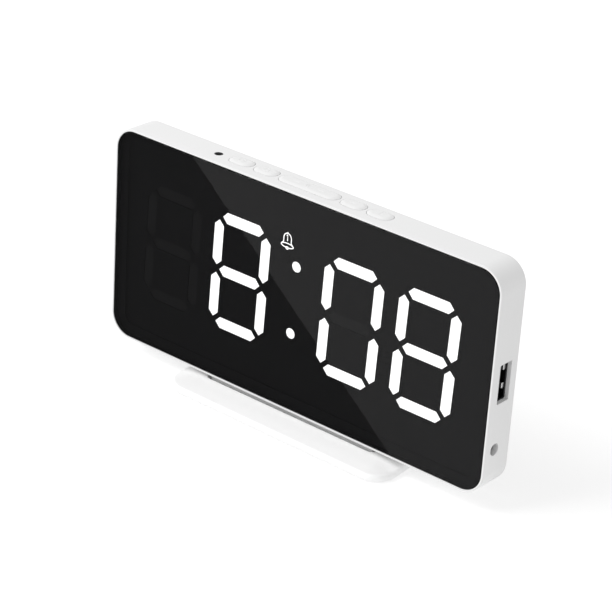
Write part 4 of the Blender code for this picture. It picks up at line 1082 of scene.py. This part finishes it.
def screw_mesh(node, sizes):
    """A cross-head screw that drives towards the front."""
    low, high = place_of(node)
    centre = middle_of(node, 0, 2)
    radius = (high.x - low.x) / 2
    shank = radius * 0.48
    neck = high.y - sizes.screw_head
    levels = [(low.y, radius - shank / 2), (low.y + shank, radius - shank), (neck, radius - shank)]
    levels += [(neck, 0.0), *rounded_end(high.y, 1, sizes.screw_round)]
    blank = lofted(round_outline(centre, radius), levels, "front")
    long = 1.3 * radius
    short = 0.32 * radius
    ends = [(high.y - sizes.screw_cross, LEAST_CORNER), (high.y + OVERCUT, 0.0)]
    cutters = []
    for wide, tall in ((long, short), (short, long)):
        cutters.append(lofted(rounded_outline(centre, wide, tall, LEAST_CORNER), ends, "front"))
    return shaped(blank, cutters)


def grille_holes(sizes):
    """The outlines of the sound grille's holes, in two rows of five over the buzzer."""
    middle = middle_of("buzzer", 0, 2)[0]
    row_start = CASE_HEIGHT - sizes.wall - sizes.grille_drop
    holes = []
    for column in range(-2, 3):
        for row in range(2):
            spot = (middle + column * sizes.grille_pitch, row_start + row * sizes.grille_pitch)
            holes.append(round_outline(spot, sizes.grille_hole, GRILLE_STEPS))
    return holes


def build_back(sizes):
    """The rear cover with its grille, blank label recess, screw wells and door opening, and its screws."""
    low, high = place_of("rear_cover")
    inside = high.y - sizes.cover_thick
    below = inside - OVERCUT
    above = high.y + OVERCUT
    corner = sizes.case_corner - sizes.wall - sizes.gap
    outline = rounded_outline((0.0, CASE_MID), high.x - low.x, high.z - low.z, corner)
    plate = lofted(outline, rounded_levels(inside, high.y, 0.0, sizes.gap / 2), "front")

    levels = [(below, 0.0), (high.y - sizes.mouth_chamfer, 0.0), (above, -OVERCUT)]
    cutters = [lofted(hole, levels, "front") for hole in grille_holes(sizes)]
    for name in COVER_SCREWS:
        screw_low, screw_high = place_of(name)
        well = round_outline(middle_of(name, 0, 2), (screw_high.x - screw_low.x) / 2)
        levels = [(high.y - sizes.screw_well, -sizes.gap), (high.y - sizes.mouth_chamfer, -sizes.gap)]
        cutters.append(lofted(well, [*levels, (above, -sizes.gap - OVERCUT)], "front"))

    centre, radius = door_circle()
    cutters.append(through(round_outline(centre, radius + sizes.gap, DOOR_STEPS), below, above, "front"))
    lug_low, lug_high = place_of("battery_door")
    notch_long = lug_high.x - lug_low.x + 2 * sizes.gap
    notch = rounded_outline(centre, notch_long, sizes.lug_tall + 2 * sizes.gap, sizes.gap)
    cutters.append(through(turned_outline(notch, centre, radians(-45)), below, above, "front"))

    spot = (-sizes.label_left, CASE_MID - sizes.label_drop)
    label = rounded_outline(spot, sizes.label_wide, sizes.label_tall, sizes.label_corner)
    levels = [(high.y - sizes.label_deep, sizes.label_deep), (above, -OVERCUT)]
    cutters.append(lofted(label, levels, "front"))
    piece("back_cover", shaped(plate, cutters), ["white_shell"], "case", ["rear_cover"])
    for name in COVER_SCREWS:
        piece(name.replace("cover", "back"), screw_mesh(name, sizes), ["turned_steel"], "case",
              [name])


def door_circle():
    """The centre and the radius of the round battery door, from its CAD node's height."""
    low, high = place_of("battery_door")
    centre = ((low.x + high.x) / 2, (low.z + high.z) / 2)
    return centre, (high.z - low.z) / 2


def build_door(sizes):
    """The twist-off battery door: coin slot, raised turning arrow, dots and two lugs."""
    low, high = place_of("battery_door")
    centre, radius = door_circle()
    inside = place_of("rear_cover")[1].y - sizes.cover_thick
    outline = round_outline(centre, radius, DOOR_STEPS)
    disc = lofted(outline, rounded_levels(inside, high.y, 0.0, sizes.gap), "front")
    hub = [outline(0.0), outline(sizes.hub_wall)]
    hub = filled(hub, inside - sizes.hub_deep, inside + sizes.gap, "front")
    lugs = rounded_outline(centre, high.x - low.x, sizes.lug_tall, sizes.gap)
    lugs = through(lugs, inside - sizes.lug_deep, inside - sizes.gap, "front")
    hollow = round_outline(centre, radius - sizes.hub_wall, DOOR_STEPS)
    lugs = shaped(lugs, [through(hollow, inside - 2 * OVERCUT, inside, "front")])
    levels = [(high.y - sizes.coin_deep, 0.0), (high.y - sizes.mouth_chamfer, 0.0)]
    levels.append((high.y + OVERCUT, -OVERCUT))
    slot = lofted(pill_outline(centre, sizes.coin_long, sizes.coin_wide), levels, "front")
    door = shaped(disc, [slot], [hub, lugs])
    piece("door_cap", door, ["white_shell"], "battery_door_body", ["battery_door"])

    reach = radius * 0.74
    barb = sizes.arrow_barb
    sweep = arc(centre, reach, reach, 40, 140, 22)
    x, y = sweep[-1]
    head = [(x + barb, y + barb * 0.235), (x, y), (x + barb * 0.118, y + barb)]
    paths = [(sweep, False), (head, False)]
    for side in (-1, 1):
        spot = (centre[0] + side * reach, centre[1])
        paths.append((arc(spot, sizes.arrow_dot, sizes.arrow_dot, 0, 360, 8)[:-1], True))
    sign = ridges(paths, sizes.symbol_radius, 0.5, high.y, "front")
    piece("door_arrow", sign, ["white_shell"], "battery_door_body")


def build_foot(sizes):
    """The low foot with its gentle rise and slot, on four rubber pads."""
    low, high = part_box("foot")
    outline = rounded_outline((0.0, 0.0), high.x - low.x, high.y - low.y, sizes.foot_corner)
    levels = rounded_levels(low.z, sizes.foot_edge, sizes.gap * 2, sizes.foot_round)
    for i in range(1, RISE_STEPS + 1):
        along = i / RISE_STEPS
        rise = (high.z - sizes.foot_edge) * sin(along * pi / 2)
        levels.append((sizes.foot_edge + rise, sizes.foot_round + sizes.foot_slope * along))
    case_front = (TO_WORLD @ Vector((0.0, 0.0, 0.0))).y
    well_middle = (0.0, case_front + sizes.well_setback + sizes.well_width / 2)
    well = rounded_outline(well_middle, sizes.well_length, sizes.well_width, sizes.well_corner)
    cutters = [mouth(well, sizes.well_floor, high.z, 1, "top", sizes.gap)]
    for node in FOOT_PADS:
        pad_low, pad_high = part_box(node)
        spot = ((pad_low.x + pad_high.x) / 2, (pad_low.y + pad_high.y) / 2)
        radius = (pad_high.x - pad_low.x) / 2
        pad = round_outline(spot, radius)
        pad_levels = rounded_levels(pad_low.z, pad_high.z, sizes.gap, 0.0)
        piece(node.replace("pad", "cushion"), lofted(pad, pad_levels, "top"), ["rubber"], "case",
              [node], in_case=False)
        pocket = round_outline(spot, radius + sizes.gap)
        cutters.append(through(pocket, -OVERCUT, pad_high.z + sizes.gap, "top"))
    base = shaped(lofted(outline, levels, "top"), cutters)
    # The foot's lighter white is painted light that makes up for the case's shade on it.
    piece("foot_plate", base, ["white_foot"], "case", ["foot"], in_case=False)


def finish_carried():
    """Gives the CAD nodes that stay in sight their own finishes and smooth shading."""
    carried = dict(CARRIED)
    carried["black_chip"] += tuple(name.replace("button", "switch") for name in BUTTONS)
    carried["black_moulding"] += tuple(name.replace("button", "plunger") for name in BUTTONS)
    for finish, nodes in carried.items():
        for name in nodes:
            mesh = frame["nodes"][name].data
            mesh.materials.clear()
            mesh.materials.append(finish_named(finish))
            mesh.shade_smooth()
            mesh.set_sharp_from_angle(angle=SMOOTH_ANGLE)


# ---------------------------------------------------------------------------
# Studio
# ---------------------------------------------------------------------------

def stage_mesh(name, points, material):
    """A flat sheet of the studio."""
    mesh = bpy.data.meshes.new(name)
    mesh.from_pydata(points, [], [tuple(range(len(points)))])
    mesh.materials.append(material)
    sheet = linked(name, mesh)
    return sheet


def floor_finish(colour, glow):
    graph = Graph("studio_floor")
    tone = graph.noise(3, detail=2.0)
    body = graph.mix(tone, shade(colour, 0.995), shade(colour, 1.0))
    white = graph.mix(tone, (0.995, 0.995, 0.995, 1.0), (1.0, 1.0, 1.0, 1.0))
    inputs = {"Base Color": body, "Roughness": 0.9, "Specular IOR Level": 0.0}
    return graph.finish({**inputs, "Emission Color": white, "Emission Strength": glow})


def flag_finish(brightness):
    graph = Graph("studio_flag")
    light = graph.node("ShaderNodeEmission", inputs={"Color": (1.0, 1.0, 1.0, 1.0), "Strength": brightness})
    graph.node("ShaderNodeOutputMaterial", inputs={"Surface": light})
    return graph.material


def mirrored_on_floor(eye, across, up, height):
    """Where the panel, seen from the eye, mirrors the floor at a point of its front face."""
    spot = TO_WORLD @ Vector((across, 0.0, up))
    outward = (TO_WORLD.to_3x3() @ Vector((0.0, -1.0, 0.0))).normalized()
    image = eye - 2 * outward * (eye - spot).dot(outward)
    way = spot - image
    return spot + way * ((height - spot.z) / way.z)


def build_studio(studio, colours):
    """Floor, even surround, softbox, the flag that the panel mirrors, and the camera."""
    scene = bpy.context.scene
    low, high = CAD_BOX
    aim = (low + high) / 2 + Vector(studio.aim)
    level = cos(studio.elevation)
    back = Vector((sin(studio.azimuth) * level, -cos(studio.azimuth) * level, sin(studio.elevation)))
    camera = linked("camera", bpy.data.cameras.new("camera"))
    camera.location = aim + back * studio.distance
    camera.rotation_euler = (-back).to_track_quat("-Z", "Y").to_euler()
    camera.data.lens = studio.lens
    camera.data.clip_start = 0.01
    scene.camera = camera

    reach = studio.floor_reach
    corners = [(-reach, -reach, 0.0), (reach, -reach, 0.0), (reach, reach, 0.0), (-reach, reach, 0.0)]
    stage_mesh("studio_floor", corners, floor_finish(colours.floor, studio.floor_glow))

    first = mirrored_on_floor(camera.location, studio.flag_top, CASE_HEIGHT, studio.flag_lift)
    second = mirrored_on_floor(camera.location, studio.flag_bottom, 0.0, studio.flag_lift)
    along = (second - first).normalized()
    away = Vector((-along.y, along.x, 0.0)) * studio.flag_wide
    if away.x > 0:
        away = -away
    start = first - along * studio.flag_past
    end = second + along * studio.flag_past
    flag = stage_mesh("studio_flag", [start, end, end + away, start + away], flag_finish(studio.mirrored_sky))
    flag.visible_camera = False
    flag.visible_diffuse = False
    flag.visible_shadow = False
    flag.visible_transmission = False

    world = bpy.data.worlds.new("studio_surround")
    world.use_nodes = True
    surround = world.node_tree.nodes["Background"]
    surround.inputs["Color"].default_value = (1.0, 1.0, 1.0, 1.0)
    surround.inputs["Strength"].default_value = studio.sky
    scene.world = world

    lamp = bpy.data.lights.new("softbox", "AREA")
    lamp.shape = "RECTANGLE"
    lamp.size = studio.key_size
    lamp.size_y = studio.key_size
    lamp.energy = studio.key
    softbox = linked("softbox", lamp)
    softbox.location = studio.key_place
    softbox.rotation_euler = (aim - softbox.location).to_track_quat("-Z", "Y").to_euler()
    scene.view_settings.view_transform = "Standard"


# ---------------------------------------------------------------------------
# Operators, panel and registration
# ---------------------------------------------------------------------------

class PieceBuilder:
    """What the builders of pieces share: each hands the clock's sizes to its own function."""

    def execute(self, context):
        self.build(context.scene.clock_sizes)
        return {"FINISHED"}


class BuildHousing(PieceBuilder, bpy.types.Operator):
    """Build the white housing"""

    bl_idname = "clock.housing"
    bl_label = "Housing"
    build = staticmethod(build_housing)


class BuildPanel(PieceBuilder, bpy.types.Operator):
    """Build the smoked front panel with its edge ink and mask"""

    bl_idname = "clock.front_panel"
    bl_label = "Front panel"
    build = staticmethod(build_panel)


class BuildDisplay(PieceBuilder, bpy.types.Operator):
    """Build the digits, the colon and the bell sign"""

    bl_idname = "clock.display"
    bl_label = "Display"
    build = staticmethod(build_display)


class BuildButtons(PieceBuilder, bpy.types.Operator):
    """Build the five buttons with their signs"""

    bl_idname = "clock.buttons"
    bl_label = "Buttons"
    build = staticmethod(build_buttons)


class BuildSensor(PieceBuilder, bpy.types.Operator):
    """Build the light sensor and its bezel"""

    bl_idname = "clock.sensor"
    bl_label = "Light sensor"
    build = staticmethod(build_sensor)


class BuildUsb(PieceBuilder, bpy.types.Operator):
    """Build the USB socket"""

    bl_idname = "clock.usb"
    bl_label = "USB socket"
    build = staticmethod(build_usb)


class BuildJack(PieceBuilder, bpy.types.Operator):
    """Build the power jack"""

    bl_idname = "clock.jack"
    bl_label = "Power jack"
    build = staticmethod(build_jack)


class BuildBack(PieceBuilder, bpy.types.Operator):
    """Build the rear cover and its screws"""

    bl_idname = "clock.back"
    bl_label = "Rear cover"
    build = staticmethod(build_back)


class BuildDoor(PieceBuilder, bpy.types.Operator):
    """Build the twist-off battery door"""

    bl_idname = "clock.door"
    bl_label = "Battery door"
    build = staticmethod(build_door)


class BuildFoot(PieceBuilder, bpy.types.Operator):
    """Build the foot and its pads"""

    bl_idname = "clock.foot"
    bl_label = "Foot"
    build = staticmethod(build_foot)


class FinishInside(bpy.types.Operator):
    """Give the boards, the battery and the small parts inside their finishes"""

    bl_idname = "clock.inside"
    bl_label = "Inside parts"

    def execute(self, context):
        finish_carried()
        return {"FINISHED"}


class BuildStudio(bpy.types.Operator):
    """Set up the floor, the lights and the camera"""

    bl_idname = "clock.studio"
    bl_label = "Studio"

    def execute(self, context):
        build_studio(context.scene.clock_studio, context.scene.clock_colours)
        return {"FINISHED"}


OPERATORS = (BuildHousing, BuildPanel, BuildDisplay, BuildButtons, BuildSensor, BuildUsb, BuildJack,
             BuildBack, BuildDoor, BuildFoot, FinishInside, BuildStudio)


class ClockPanel(bpy.types.Panel):
    """Lists the clock's builders in the sidebar"""

    bl_idname = "VIEW3D_PT_clock"
    bl_label = "Desk alarm clock"
    bl_space_type = "VIEW_3D"
    bl_region_type = "UI"
    bl_category = "Clock"

    def draw(self, context):
        for operator in OPERATORS:
            self.layout.operator(operator.bl_idname)
        for name, group in GROUPS.items():
            box = self.layout.box()
            for label in group.__annotations__:
                box.prop(getattr(context.scene, name), label)


GROUPS = {"clock_sizes": ClockSizes, "clock_colours": ClockColours, "clock_studio": ClockStudio}
CLASSES = (*GROUPS.values(), *OPERATORS, ClockPanel)


def register():
    for known in CLASSES:
        bpy.utils.register_class(known)
    for name, group in GROUPS.items():
        setattr(bpy.types.Scene, name, PointerProperty(type=group))


def unregister():
    for name in GROUPS:
        delattr(bpy.types.Scene, name)
    for known in reversed(CLASSES):
        bpy.utils.unregister_class(known)


def main():
    """Builds every piece and the studio."""
    register()
    for operator in OPERATORS:
        section, name = operator.bl_idname.split(".")
        getattr(getattr(bpy.ops, section), name)()


if __name__ == "__main__":
    main()
